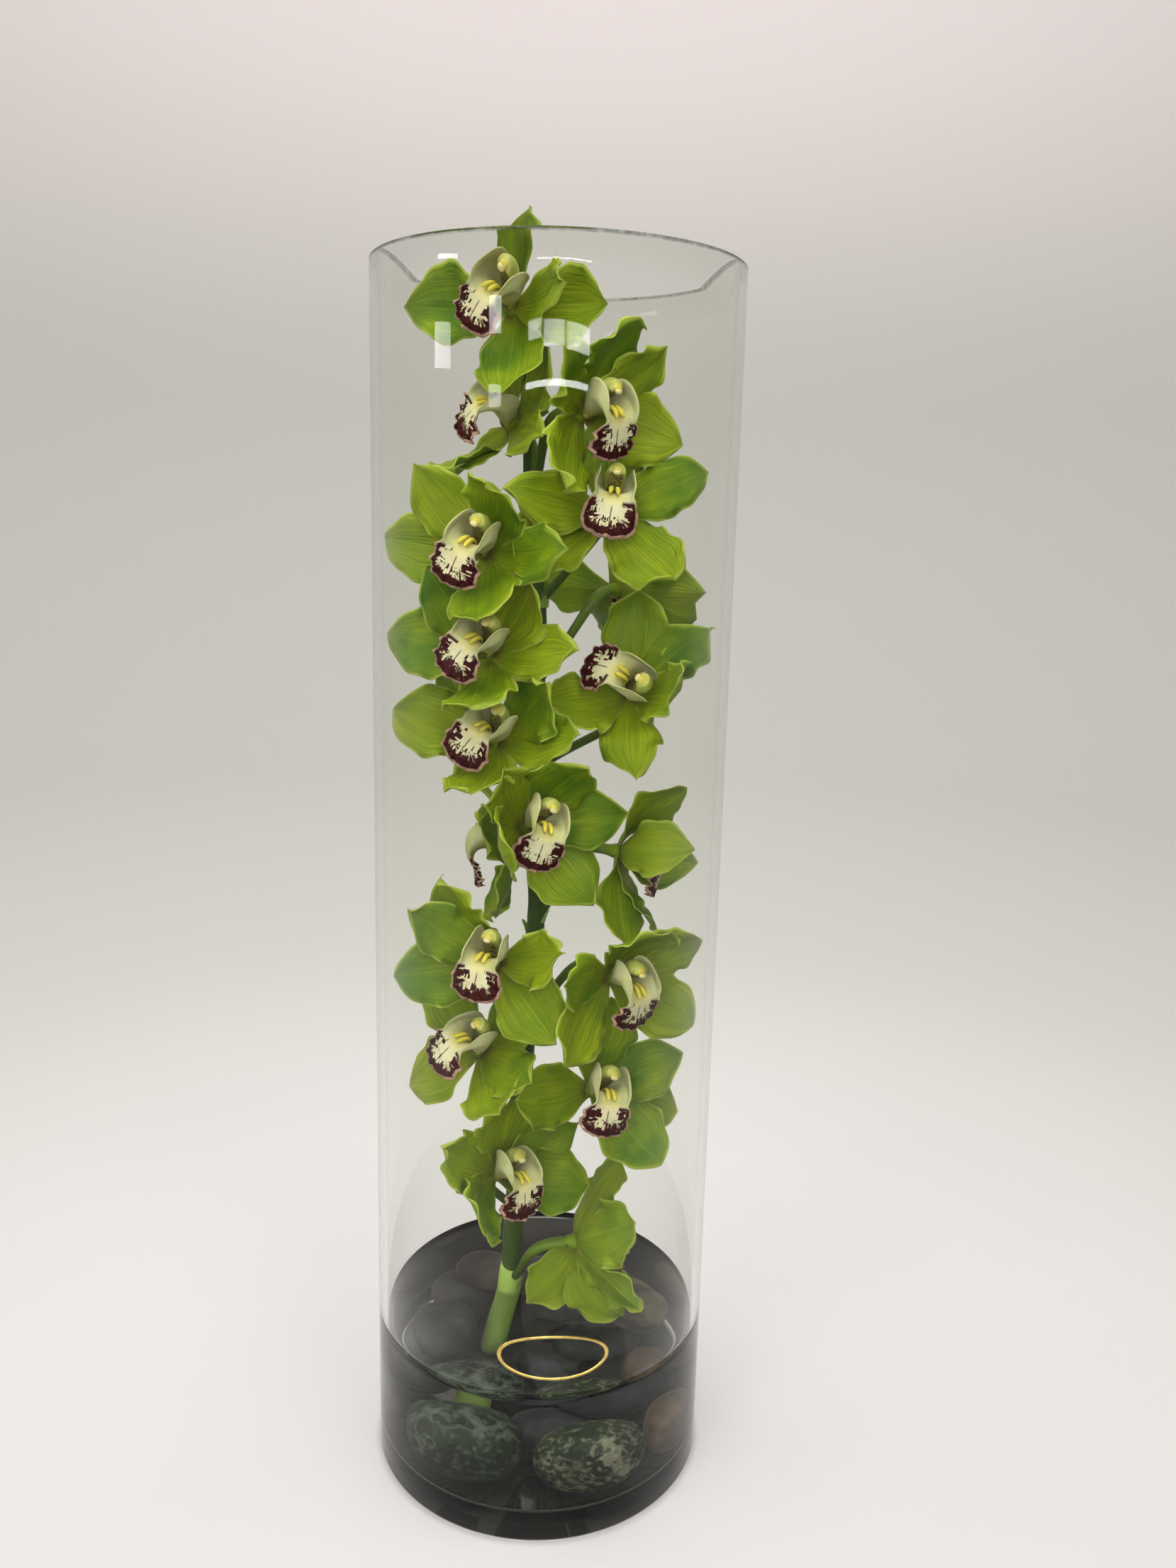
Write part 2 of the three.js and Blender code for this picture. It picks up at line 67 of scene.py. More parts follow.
def through(x, places, values):
    """A smooth curve through the values: on each stretch a cubic whose end slopes are those of the chords
    between the neighbours on both sides."""
    places = np.asarray(places, float)
    values = np.asarray(values, float)
    slopes = np.gradient(values, places)
    i = np.clip(np.searchsorted(places, x, side="right") - 1, 0, len(places) - 2)
    gap = places[i + 1] - places[i]
    t = np.clip((x - places[i]) / gap, 0, 1)
    start = (1 + 2 * t) * (1 - t) ** 2 * values[i] + t * (1 - t) ** 2 * gap * slopes[i]
    return start + t**2 * (3 - 2 * t) * values[i + 1] - t**2 * (1 - t) * gap * slopes[i + 1]


def unit(v):
    """Each vector divided by its own length."""
    return v / np.maximum(np.linalg.norm(v, axis=-1, keepdims=True), 1e-9)


def turning(axis, angle):
    """The matrix of a turn about the x, y or z axis (0, 1 or 2) by an angle in radians."""
    c, s = math.cos(angle), math.sin(angle)
    return np.roll([[1, 0, 0], [0, c, -s], [0, s, c]], axis, (0, 1))


def facing(turn, tilt, roll):
    """Right, up and out of a face, as columns. Out points along -y, tilted up and turned about z, and the face
    is rolled clockwise about it."""
    return turning(2, turn) @ turning(0, math.pi / 2 - tilt) @ turning(2, -roll)


def circle(sides):
    """Angles that divide a full turn evenly."""
    return np.arange(sides) * 2 * np.pi / sides


def joined(*numbers):
    """Numbers as the last axis of one array, each spread over the grid of the others."""
    return np.stack(np.broadcast_arrays(*numbers), axis=-1)


def spun(radii, heights, sides):
    """Rings about the z axis (stations x sides x 3), each with a radius and a height."""
    a, r = circle(sides), radii[:, None]
    return joined(r * np.cos(a), r * np.sin(a), heights[:, None])


def ball(rows, sides):
    """The rings of a ball of radius 1, from low to high, without its two ends."""
    down = np.linspace(np.pi, 0, rows + 2)[1:-1]
    return spun(np.sin(down), np.cos(down), sides)


# %% Grids, sheets and lofts
def grid_faces(rows, columns, closed=False):
    """Four-sided faces between neighbours on a grid. They look along (step across) x (step along)."""
    index = np.arange(rows * columns).reshape(rows, columns)
    if closed:
        index = np.concatenate([index, index[:, :1]], axis=1)
    corners = [index[:-1, :-1], index[:-1, 1:], index[1:, 1:], index[1:, :-1]]
    return np.stack(corners, axis=-1).reshape(-1, 4)


def thin_sheet(middle, thick):
    """A closed blade from the grid of its middle surface: each face lies half the thickness away along the
    surface's own normal, and a strip of faces closes the margin. Thickness may vary over the grid."""
    rows, columns = middle.shape[:2]
    normal = unit(np.cross(np.gradient(middle, axis=1), np.gradient(middle, axis=0)))
    half = np.broadcast_to(np.asarray(thick)[..., None] / 2, middle.shape)
    points = np.concatenate([middle + normal * half, middle - normal * half]).reshape(-1, 3)
    count = rows * columns
    front = grid_faces(rows, columns)
    index = np.arange(count).reshape(rows, columns)
    rim = np.concatenate([index[0, :-1], index[:-1, -1], index[-1, :0:-1], index[:0:-1, 0]])
    ahead = np.roll(rim, -1)
    edge = np.stack([rim, rim + count, ahead + count, ahead], axis=1)
    return points, np.concatenate([front, front[:, ::-1] + count, edge])


def closed_loft(rings):
    """A skin over a stack of rings (stations x sides x 3) with a point at each end. Each ring turns left as
    seen from the end that the stack runs to."""
    stations, sides = rings.shape[:2]
    points = np.concatenate([rings.reshape(-1, 3), rings[:1].mean(1), rings[-1:].mean(1)])
    first = np.arange(sides)
    ahead = np.roll(first, -1)
    low, high = stations * sides, stations * sides + 1
    last = (stations - 1) * sides
    caps = [[np.full(sides, low), ahead, first], [first + last, ahead + last, np.full(sides, high)]]
    quads = grid_faces(stations, sides, closed=True)
    return points, quads, np.concatenate([np.stack(cap, axis=1) for cap in caps])


def rings_along(line, radii, sides, level, outline=1.0):
    """Rings round a line: at each station two directions are set square to the line, the first one as near as
    can be to the level direction, and the ring is radius * outline(angle) away from the line."""
    line, level = np.asarray(line, float), np.asarray(level, float)
    ahead = unit(np.gradient(line, axis=0))
    side = unit(level - ahead * (ahead @ level)[:, None])
    other = np.cross(ahead, side)
    angle = circle(sides)[None, :, None]
    reach = (np.asarray(radii)[:, None] * outline)[..., None]
    return line[:, None] + reach * (side[:, None] * np.cos(angle) + other[:, None] * np.sin(angle))


def edge_distance(flat):
    """For each point of a flattened blade (a grid), how far the nearest point of its free border is, and how
    far round the border that point lies."""
    border = np.concatenate([flat[:, 0], flat[-1], flat[::-1, -1]])
    gaps = np.linalg.norm(flat[:, :, None] - border, axis=-1)
    way = np.concatenate([[0], np.cumsum(np.linalg.norm(np.diff(border, axis=0), axis=1))])
    return gaps.min(2), way[gaps.argmin(2)]


# %% Meshes from arrays
class Parts:
    """Gathers the points, faces and marks of several shells that make one piece. Its place function moves a
    shell's points from the shell's own frame to the vase's, in millimetres."""

    def __init__(self, place=None):
        self.place = place or (lambda points: points)
        self.points, self.quads, self.corners, self.marks = [], [], [], {}
        self.count = 0

    def add(self, points, quads, corners=None, **marks):
        """Adds one shell. A mark is three numbers for all of its points, or three for each of them. The marks
        of a sheet's middle surface serve its front and then its back."""
        self.points.append(self.place(points))
        self.quads.append(quads + self.count)
        if corners is not None:
            self.corners.append(corners + self.count)
        for name, rows in marks.items():
            rows = np.reshape(rows, (-1, 3))
            self.marks.setdefault(name, []).append(np.tile(rows, (len(points) // len(rows), 1)))
        self.count += len(points)
        return self

    def make(self, name, finish, slot, stands_for=()):
        """Turns the shells into one Blender object in metres, riding on the vase's body."""
        mesh = bpy.data.meshes.new(name)
        groups = [np.concatenate(g) for g in (self.quads, self.corners) if g]
        loops = np.concatenate([g.ravel() for g in groups]).astype(np.int32)
        sizes = np.concatenate([np.full(len(g), g.shape[1]) for g in groups])
        starts = np.concatenate([[0], np.cumsum(sizes)[:-1]]).astype(np.int32)
        mesh.vertices.add(self.count)
        mesh.vertices.foreach_set("co", (np.concatenate(self.points) * MM).astype(np.float32).ravel())
        mesh.loops.add(len(loops))
        mesh.loops.foreach_set("vertex_index", loops)
        mesh.polygons.add(len(sizes))
        mesh.polygons.foreach_set("loop_start", starts)
        mesh.update(calc_edges=True)
        mesh.shade_smooth()
        for mark, rows in self.marks.items():
            values = np.concatenate(rows).astype(np.float32).ravel()
            mesh.attributes.new(mark, "FLOAT_VECTOR", "POINT").data.foreach_set("vector", values)
        mesh.materials.append(finish)
        piece = bpy.data.objects.new(name, mesh)
        bpy.context.scene.collection.objects.link(piece)
        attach(piece, "root")
        if stands_for:
            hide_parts(*stands_for)
        return piece


def tell(what, *pieces):
    """Prints how many pieces were made and their triangles. A four-sided face counts as two."""
    triangles = sum(len(piece.data.loops) - 2 * len(piece.data.polygons) for piece in pieces)
    print(f"{what}: {len(pieces)} with {triangles} triangles")


# %% [markdown]
# Finishes are node trees. Their arithmetic reads best as arithmetic, so one small class holds a socket, and a
# plus or a minus between two of them adds the Math node that does it. Every other node comes from one method.


# %% A socket that can be reckoned with
def reckons(operation, step=1):
    """A method that adds the Math node of an operation. With a step of -1 its terms change places."""
    return lambda *terms: terms[0].node("Math", {"operation": operation}, dict(enumerate(terms[::step])))


class Wire:
    """A socket in a finish's node tree, or the bare tree to start from."""

    __add__, __mul__, __truediv__ = reckons("ADD"), reckons("MULTIPLY"), reckons("DIVIDE")
    __sub__, __rsub__, __abs__ = reckons("SUBTRACT"), reckons("SUBTRACT", -1), reckons("ABSOLUTE")

    def __init__(self, tree, socket=None):
        self.tree, self.socket = tree, socket

    def node(self, kind, settings=None, sockets=None, out=0):
        """Adds a node of a type: its settings first, then the values or wires of its sockets."""
        made = self.tree.nodes.new("ShaderNode" + kind)
        for name, value in (settings or {}).items():
            setattr(made, name, value)
        for name, value in (sockets or {}).items():
            if isinstance(value, Wire):
                self.tree.links.new(value.socket, made.inputs[name])
            else:
                made.inputs[name].default_value = value
        return Wire(self.tree, made.outputs[out])

    def between(self, low, high, start=0.0, end=1.0):
        """Fades smoothly from start to end as this wire goes from low to high."""
        settings = {"interpolation_type": "SMOOTHSTEP"}
        return self.node("MapRange", settings, {0: self, 1: low, 2: high, 3: start, 4: end})

    def blend(self, first, second):
        """The first colour where this wire is 0, the second where it is 1."""
        sockets = {0: self}
        for place, colour in ((6, first), (7, second)):
            sockets[place] = colour if isinstance(colour, Wire) else (*colour, 1)
        return self.node("Mix", {"data_type": "RGBA"}, sockets, out=2)

    def painted(self, *coats):
        """This colour under coats of others. Each coat has a mask, its strength and its colour."""
        colour = self
        for mask, strength, shade in coats:
            colour = (mask * strength).blend(colour, shade)
        return colour

    def mark(self, name):
        """The three numbers of a mark that the mesh carries on its points."""
        return self.node("Attribute", {"attribute_name": name}, out="Vector").split()

    def split(self):
        """The three numbers of a vector."""
        made = self.tree.nodes.new("ShaderNodeSeparateXYZ")
        self.tree.links.new(self.socket, made.inputs[0])
        return [Wire(self.tree, output) for output in made.outputs]

    def vector(self, *numbers):
        """A vector of three numbers or wires."""
        return self.node("CombineXYZ", None, dict(enumerate(numbers)))

    def noise(self, scale, detail=2.0, roughness=0.5, vector=None):
        """Cloudy noise between 0 and 1 on the piece's own coordinates, in cells per metre."""
        vector = vector or self.node("TexCoord", out="Object")
        sockets = {"Vector": vector, "Scale": scale, "Detail": detail, "Roughness": roughness}
        return self.node("TexNoise", None, sockets)

    def clouds(self, scale, detail, first, second, roughness=0.5):
        """Two colours that run into each other as the noise goes from 0.3 to 0.7."""
        return self.noise(scale, detail, roughness).between(0.3, 0.7).blend(first, second)


def new_finish(name, **fixed):
    """A finish with one Principled shader, its fixed sockets set, and the wire that its arithmetic starts from."""
    finish = bpy.data.materials.new(name)
    finish.use_nodes = True
    shader = finish.node_tree.nodes["Principled BSDF"]
    for socket, value in fixed.items():
        shader.inputs[socket.replace("_", " ")].default_value = value
    return finish, Wire(finish.node_tree)


def plug(finish, **wires):
    """Leads wires into the sockets of the finish's shader."""
    shader = finish.node_tree.nodes["Principled BSDF"]
    for socket, wire in wires.items():
        finish.node_tree.links.new(wire.socket, shader.inputs[socket.replace("_", " ")])
    return finish


def relief(height, distance):
    """A Bump node for fine relief, distance metres deep."""
    return height.node("Bump", None, {"Height": height, "Distance": distance, "Strength": 1.0})


# %% [markdown]
# ## The glass cylinder
#
# The vase is drawn glass: a straight tube with a heavy base, a rounded foot, an inner fillet and a rim that is
# ground flat and fire-polished at its edges. A turned profile gives all of it. The wall has to be a real wall,
# with an outer and an inner face, because the grey lines at its sides are light bent through its thickness.

# %% The vase's profile
# In millimetres: the outer radius and the height, the wall and the base, and the height of the water's surface
RADIUS, HEIGHT, WALL, BASE, WATER = 101.6, 711.0, 5.0, 15.0, 93.0
INNER = RADIUS - WALL
FILLET = 7.0
GLASS_SIDES = 192


def corner(centre_r, centre_z, radius, start, end, steps=7):
    """An arc of a profile, from one angle to another in degrees."""
    a = np.radians(np.linspace(start, end, steps))
    return joined(centre_r + radius * np.cos(a), centre_z + radius * np.sin(a))


def turned(profile):
    """A profile of (radius, height), from the axis round the outside and back to the axis, turned about z."""
    points, quads, corners = closed_loft(spun(profile[1:-1, 0], profile[1:-1, 1], GLASS_SIDES))
    points[-2:] = [(0, 0, profile[0, 1]), (0, 0, profile[-1, 1])]
    return points, quads, corners


def vase_profile():
    """Foot, outer wall, rim, inner wall and the floor with its fillet."""
    return np.concatenate([
        [(0, 0)],
        np.linspace((20, 0), (96, 0), 5),
        corner(RADIUS - 3, 3, 3, -90, 0),
        np.linspace((RADIUS, 20), (RADIUS, 690), 22),
        corner(RADIUS - 1, HEIGHT - 1, 1, 0, 90, 5),
        corner(INNER + 1, HEIGHT - 1, 1, 90, 180, 5),
        np.linspace((INNER, 690), (INNER, 30), 22),
        corner(INNER - FILLET, BASE + FILLET, FILLET, 0, -90, 9),
        np.linspace((70, BASE), (10, BASE), 5),
        [(0, BASE)],
    ])


# %% Clear glass and water
# The mirror of clear things is weakened to this share where it is seen squarely. At their edges it stays whole.
SQUARE_MIRROR = 0.17
# The cut of the rim starts this many metres up
GROUND = 0.7096


def clear_finish(name, tint, bend, ground=None):
    """Transparent, with a faint tint that deepens where the light's way through is long. Above the ground
    height, where the rim is cut, the glass is greyer and brushed."""
    finish, start = new_finish(
        name, Base_Color=(*tint, 1), Roughness=0.0, IOR=bend, Transmission_Weight=1.0,
        Specular_Tint=(SQUARE_MIRROR, SQUARE_MIRROR, SQUARE_MIRROR, 1))
    if ground:
        rim = start.node("TexCoord", out="Object").split()[2].between(ground - 0.0006, ground)
        brushed = start.clouds(260, 2, (0.36, 0.38, 0.36), (0.74, 0.76, 0.74), 0.6)
        plug(finish, Base_Color=rim.blend(tint, brushed), Roughness=rim * 0.22)
    return finish


glass = clear_finish("clear_glass", (0.948, 0.960, 0.936), 1.5, ground=GROUND)
water_finish = clear_finish("still_water", (0.966, 0.976, 0.920), 1.33)

vase = Parts().add(*turned(vase_profile())).make("glass_cylinder", glass, "vase_glass", ["vase"])
vase.visible_shadow = False
tell("glass_cylinder", vase)

# %% [markdown]
# ## The water
#
# The water stands a hand's width deep. It wets the glass, so its surface climbs about 2 mm at the wall, and
# that thin bright line is what the eye takes for the water's edge. The body of water reaches a hair into the
# glass, so that light goes straight from one to the other with no film of air between them.

# %% The water and its climbing edge
INTO_GLASS = 0.15


def water_profile():
    """The surface rises at the wall as 2 mm times e to the minus distance over 1.6 mm."""
    outer, floor = INNER + INTO_GLASS, BASE - INTO_GLASS
    gap = np.concatenate([[0, 0.3, 0.7, 1.2, 1.9, 2.8, 4, 6, 9], np.linspace(16, 90, 6)])
    return np.concatenate([
        [(0, floor)],
        np.linspace((20, floor), (84, floor), 4),
        corner(outer - FILLET, floor + FILLET, FILLET, -90, 0, 9),
        np.linspace((outer, 34), (outer, 88), 5),
        joined(outer - gap, WATER + 2.0 * np.exp(-gap / 1.6)),
        [(0, WATER)],
    ])


water = Parts().add(*turned(water_profile())).make("water_body", water_finish, "water", ["water"])
water.visible_shadow = False
tell("water_body", water)

# %% [markdown]
# ## River stones
#
# Fifteen stones, tumbled smooth by a river: dark slates with pale veins, two mottled green-black ones, a brown
# one and two olive ones. Each is a rounded box rather than an egg, so its surface is a superellipsoid: the
# points of a ball are pushed out until the sum of their coordinates to the power 2.4 is one. A few slow waves
# make it uneven. Each stone takes its place from its solid.

# %% The stones' sizes, turns and colours
STONES = [
    # half-axes, turn, tilt, body colour, colour of its flecks, how much of it they cover, veins
    ((33, 24, 22), 10, 6, (0.020, 0.032, 0.015), (0.22, 0.27, 0.20), 0.47, 0.4),
    ((31, 20, 20), -8, -8, (0.018, 0.029, 0.012), (0.60, 0.58, 0.40), 0.46, 0.15),
    ((17, 20, 17), 20, 5, (0.170, 0.112, 0.064), (0.26, 0.19, 0.11), 0.25, 0.0),
    ((16, 22, 17), -12, 0, (0.100, 0.105, 0.095), (0.20, 0.21, 0.19), 0.25, 0.1),
    ((26, 21, 19), 35, 5, (0.150, 0.135, 0.085), (0.24, 0.22, 0.15), 0.20, 0.0),
    ((23, 19, 16), -35, 4, (0.075, 0.070, 0.064), (0.15, 0.14, 0.13), 0.15, 0.0),
    ((28, 17, 17), 3, -3, (0.092, 0.082, 0.072), (0.17, 0.16, 0.14), 0.15, 0.1),
    ((24, 16, 14), 12, 4, (0.060, 0.064, 0.064), (0.14, 0.15, 0.14), 0.20, 0.2),
    ((20, 16, 14), -5, 0, (0.045, 0.050, 0.054), (0.12, 0.13, 0.13), 0.15, 0.3),
    ((15, 10, 10), 65, 3, (0.070, 0.068, 0.060), (0.14, 0.14, 0.12), 0.15, 0.0),
    ((28, 15, 13), 8, 3, (0.035, 0.038, 0.042), (0.10, 0.11, 0.11), 0.12, 0.2),
    ((20, 24, 15), 15, -5, (0.085, 0.084, 0.076), (0.18, 0.18, 0.16), 0.22, 0.0),
    ((22, 20, 15), -30, 8, (0.165, 0.150, 0.095), (0.28, 0.26, 0.18), 0.25, 0.0),
    ((26, 18, 13), -20, 3, (0.105, 0.083, 0.068), (0.18, 0.15, 0.12), 0.18, 0.0),
    ((24, 18, 13), 15, -4, (0.078, 0.072, 0.062), (0.16, 0.15, 0.13), 0.18, 0.3),
]
BOXY, STONE_ROWS, STONE_SIDES = 2.4, 32, 56


def pebble(half, turn, tilt, centre, seed):
    """Ball points scaled onto |x|^2.4 + |y|^2.4 + |z|^2.4 = 1, stretched to the half-axes, with slow waves 2%
    high, then tilted about y, turned about z and moved to its centre."""
    points, quads, corners = closed_loft(ball(STONE_ROWS, STONE_SIDES))
    points[-2:] = [(0, 0, -1), (0, 0, 1)]
    x, y, z = points.T
    uneven = np.sin(2.3 * x + seed) * np.sin(1.9 * y + 2 * seed) + 0.5 * np.sin(4.1 * z + 3.1 * x + 5 * seed)
    size = (np.abs(points) ** BOXY).sum(1) ** (-1 / BOXY) * (1 + 0.02 * uneven)
    way = turning(2, math.radians(turn)) @ turning(1, math.radians(tilt))
    return points * size[:, None] * half @ way.T + centre, quads, corners


# %% Wet stone
def stone_finish(name, body, fleck, cover, veins, seed):
    """Cloudy body colour, mineral flecks from two sizes of noise, and pale veins where a slow noise crosses its
    middle value. Both colours are darkened: partly because wet stone is deeper, partly as painted shade in the
    vase."""
    finish, start = new_finish(name, Roughness=0.5, Specular_IOR_Level=0.06)
    place = start.node("Mapping", None, {
        "Vector": start.node("TexCoord", out="Object"), "Location": (seed, 0, -seed), "Rotation": (0, 0.5, 0),
        "Scale": (0.85, 1, 1.1)})
    cloud = start.noise(38, 3, 0.6, place).between(0.35, 0.7)
    grain = start.noise(260, 2, 0.6, place).between(0.60 - 0.2 * cover, 0.76 - 0.2 * cover)
    patch = start.noise(58, 4, 0.62, place).between(0.62 - 0.12 * cover, 0.69 - 0.12 * cover)
    vein = 1 - abs(start.noise(26, 4, 0.62, place) - 0.5).between(0.005, 0.028)
    colour = cloud.blend(tuple(0.2 * c for c in body), tuple(0.8 * c for c in body))
    # Flecks at half their colour: partly the deeper colour of wet stone, partly painted shade at the bottom of the
    # vase.
    deep = tuple(0.5 * c for c in fleck)
    colour = colour.painted(
        (patch, 0.75 * cover + 0.05, deep), (grain, 0.6 * cover + 0.04, deep), (vein, veins, deep))
    return plug(finish, Base_Color=colour, Normal=relief(start.noise(170, 3, 0.6, place), 0.00018))


pebbles = []
for number, (half, turn, tilt, body, fleck, cover, veins) in enumerate(STONES, 1):
    node = f"stone_{number:02d}"
    centre = np.mean([np.array(c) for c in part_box(node)], axis=0) / MM
    stone = Parts().add(*pebble(half, turn, tilt, centre, number * 1.7))
    finish = stone_finish(f"wet_stone_{number:02d}", body, fleck, cover, veins, number * 0.37)
    pebbles.append(stone.make(f"pebble_{number:02d}", finish, "river_stone", [node]))
tell("pebbles", *pebbles)

# %% [markdown]
# ## The blooms' places
#
# The spray carries eighteen blooms that twist round the stem. Each has its own frame: x to a viewer's right, y
# up its face, z out of its face. The table repeats the solids' own places, so that every petal lies where its
# solid is, and the finer surface only adds what a coarse solid can't show.

# %% Where each bloom stands and how its tepals are spread
# Place, turn to the right, tilt up, roll clockwise, size, then for the top sepal, right petal, right sepal,
# left sepal and left petal the angle round the hub, the extra forward lift, and the twist about its own length
PLAIN = (0, 0, 0, 0, 0)
BLOOMS = [
    ((-25, -16, 688), -25, 10, 35, 1, (58, 63, 133, -130, -41), (-5, 22, 10, 10, -27), (0, 0, 0, 0, 28)),
    ((-25, 1, 628), -45, 25, 45, 0.95, (5, 70, 162, 180, -70), (15, 5, 20, -5, 5), (0, 0, -30, -30, 0)),
    ((14, -37, 633), 40, -5, -5, 1, (15, 60, 110, -135, -55), (18, 0, 20, 20, 15), (-18, -15, 0, 0, 0)),
    ((28, -30, 583), 5, 20, 10, 1, (-5, 65, 135, -130, -100), (-25, -5, 10, -5, 0), PLAIN),
    ((-37, -38, 560), -20, 10, 25, 1, (5, 70, 135, -110, -70), (40, 5, 30, -5, 5), PLAIN),
    ((36, 24, 538), 155, 0, -15, 0.95, (-10, 105, 135, -95, -80), (30, -20, 40, 15, 0), PLAIN),
    ((-34, -36, 506), -20, 20, 35, 1, (10, 60, 130, -120, -80), (25, 0, 35, 0, 10), PLAIN),
    ((44, -21, 485), -20, 30, 105, 1, (0, 65, 130, -105, -60), (35, -10, 30, 5, -5), PLAIN),
    ((-31, -35, 457), -15, 25, 35, 1, (20, 60, 140, -115, -80), (30, 5, 38, 10, -20), PLAIN),
    ((-12, -42, 412), 25, 5, 20, 1, (10, 70, 125, -124, -64), (35, 5, 10, 46, 21), PLAIN),
    ((42, -7, 388), 75, -5, 15, 0.98, (-5, 98, 150, -165, -83), (28, 40, 18, 5, 40), (30, 0, 20, -35, 0)),
    ((-21, 19, 381), -85, 0, -10, 0.95, (0, 75, 125, -150, -70), (20, 5, 5, 10, 5), PLAIN),
    ((-29, -40, 331), -15, 20, 10, 1, (-48, 75, 125, -115, -78), (15, 15, -5, 5, 5), (50, 0, 0, 0, 0)),
    ((37, -37, 322), 35, -5, 0, 1, (10, 70, 125, -135, -80), (35, 5, 20, 5, 5), PLAIN),
    ((-38, -27, 271), -30, 35, 35, 1, (10, 75, 95, -155, -85), (20, 5, 15, -25, 15), PLAIN),
    ((29, -32, 249), 20, 15, 15, 1, (-5, 60, 130, -100, 90), (7, 0, 10, 12, -20), (0, 20, 0, 0, 0)),
    ((-27, -38, 198), 40, 15, 5, 1, (0, 70, 106, -120, -65), (20, 5, 25, 32, 0), PLAIN),
    ((22, -22, 145), 110, -5, 20, 1, (-10, 145, 180, -72, -140), (20, -45, 20, 6, 8), (0, 50, 60, 0, 0)),
]
# The neck behind a bloom of size 1 reaches this far back, in millimetres, and the stalk ends in it
NECK = 8


def bloom_axes(turn, tilt, roll):
    """Right, up and out of a bloom's face as rows, from its angles in degrees."""
    return facing(*np.radians([turn, tilt, roll])).T


# %% [markdown]
# ## The flower stem
#
# The stem is thick as a finger at its cut end and thin as a straw at its tip, dark green and finely streaked. A
# pale sheath wraps its foot. From each node a stalk curves out and thickens into the three-ribbed ovary behind
# its bloom, and a small bract sits under the stalk. All of it but the bracts is tubes, so one loft makes them:
# rings that stay square to a line, with a radius and an outline that change along it.

# %% The stem's line and its stalks
STEM = np.array([[-31, -2, 22], [-26, 3, 55], [-20, 9, 94], [-18, 12, 135], [-13, 14, 238], [-7, 14, 335],
                 [-10, 14, 442], [-7, 14, 520], [-15, 12, 590], [-16, 10, 648]], float)
TIP = STEM[-1, 2]
STALK_SIDES, STEM_SIDES = 18, 28


def stem_at(z):
    """The stem's middle at a height: smooth curves of x and y against z."""
    return joined(through(z, STEM[:, 2], STEM[:, 0]), through(z, STEM[:, 2], STEM[:, 1]), z)


def stem_radius(z):
    """7 mm at the foot, 2.4 mm at the tip."""
    return np.interp(z, [40, 130, 420, 650], [7, 6.4, 4.4, 2.4])


def stalk_line(at, axes, size):
    """A bend from the stem to the back of the bloom: a cubic with its handles along the way out of the stem and
    along the bloom's own axis, then 4.6 mm straight."""
    out = axes[2]
    end = np.array(at, float) + out * (-NECK * size - 4.3)
    root = stem_at(min(end[2] - 48, TIP - 2))
    flat = (end - root) * [1, 1, 0]
    leave = flat / np.linalg.norm(flat) * 0.75 + [0, 0, 0.66]
    span = np.linalg.norm(end - root)
    first, second = root + leave * span * 0.4, end - out * span * 0.4
    t = np.linspace(0, 1, 26)[:, None]
    curve = (1 - t) ** 3 * root + 3 * t * (1 - t) ** 2 * first + 3 * t**2 * (1 - t) * second + t**3 * end
    return np.concatenate([curve, [end + out * 2, end + out * 4.6]]), root


# %% Green stalk finishes
def stem_finish():
    """Deep green with long fine streaks, because the noise is stretched along the stem, lighter towards each
    bloom. The mark holds the angle round the stalk, the way along it and how near the bloom it is."""
    finish, start = new_finish("stem_skin", Roughness=0.45, Specular_IOR_Level=0.2)
    around, along, near = start.mark("stalk")
    fine = start.noise(1.0, 3, 0.6, start.vector(around * 9, along * 14, near * 3))
    deep = fine.between(0.3, 0.75).blend((0.028, 0.055, 0.005), (0.052, 0.092, 0.009))
    light = fine.between(0.3, 0.75).blend((0.095, 0.160, 0.008), (0.150, 0.225, 0.015))
    colour = near.between(0.25, 1.0).blend(deep, light)
    colour = colour.painted((start.noise(55, 3).between(0.55, 0.8), 0.35, (0.11, 0.14, 0.03)))
    return plug(finish, Base_Color=colour, Normal=relief(fine, 0.00035))


def sheath_finish():
    """Pale yellow-green with parallel veins, paler towards its upper edge."""
    finish, start = new_finish("sheath_skin", Roughness=0.5, Specular_IOR_Level=0.25)
    around, along, _ = start.mark("stalk")
    fine = start.noise(1.0, 3, 0.6, start.vector(around * 14, along * 10, 0.0))
    colour = fine.between(0.25, 0.75).blend((0.200, 0.330, 0.040), (0.32, 0.45, 0.075))
    colour = along.between(0.5, 1.0).blend(colour, (0.30, 0.43, 0.08))
    return plug(finish, Base_Color=colour, Normal=relief(fine, 0.0003))


# %% The stem with its stalks and ovaries
def tube_marks(sides, along, near):
    """Angle round, way along and nearness for each point of a loft, its two end points included."""
    rows = joined(np.cos(circle(sides)) * 2, along[:, None], near[:, None]).reshape(-1, 3)
    return np.concatenate([rows, [[0, along[0], near[0]], [0, along[-1], near[-1]]]])


stem_parts = Parts()
heights = np.linspace(23, TIP, 160)
nodes_at = []
for at, turn, tilt, roll, size, *_ in BLOOMS:
    line, root = stalk_line(at, bloom_axes(turn, tilt, roll), size)
    nodes_at.append(root[2])
    t = np.linspace(0, 1, len(line))
    thick = 2.6 + 0.5 * np.exp(-t / 0.05) + (3.3 * size - 2.6) * fade(t, 0.35, 0.8)
    ribs = 1 + 0.09 * fade(t, 0.4, 0.8)[:, None] * np.cos(3 * circle(STALK_SIDES))[None]
    rings = rings_along(line, thick, STALK_SIDES, np.cross(line[-1] - line[0], [0, 0, 1]), ribs)
    stem_parts.add(*closed_loft(rings), stalk=tube_marks(STALK_SIDES, t * 3 + root[2] * 0.1, 0.35 + 0.65 * t))
swelling = sum(0.5 * np.exp(-(((heights - z) / 4) ** 2)) for z in nodes_at)
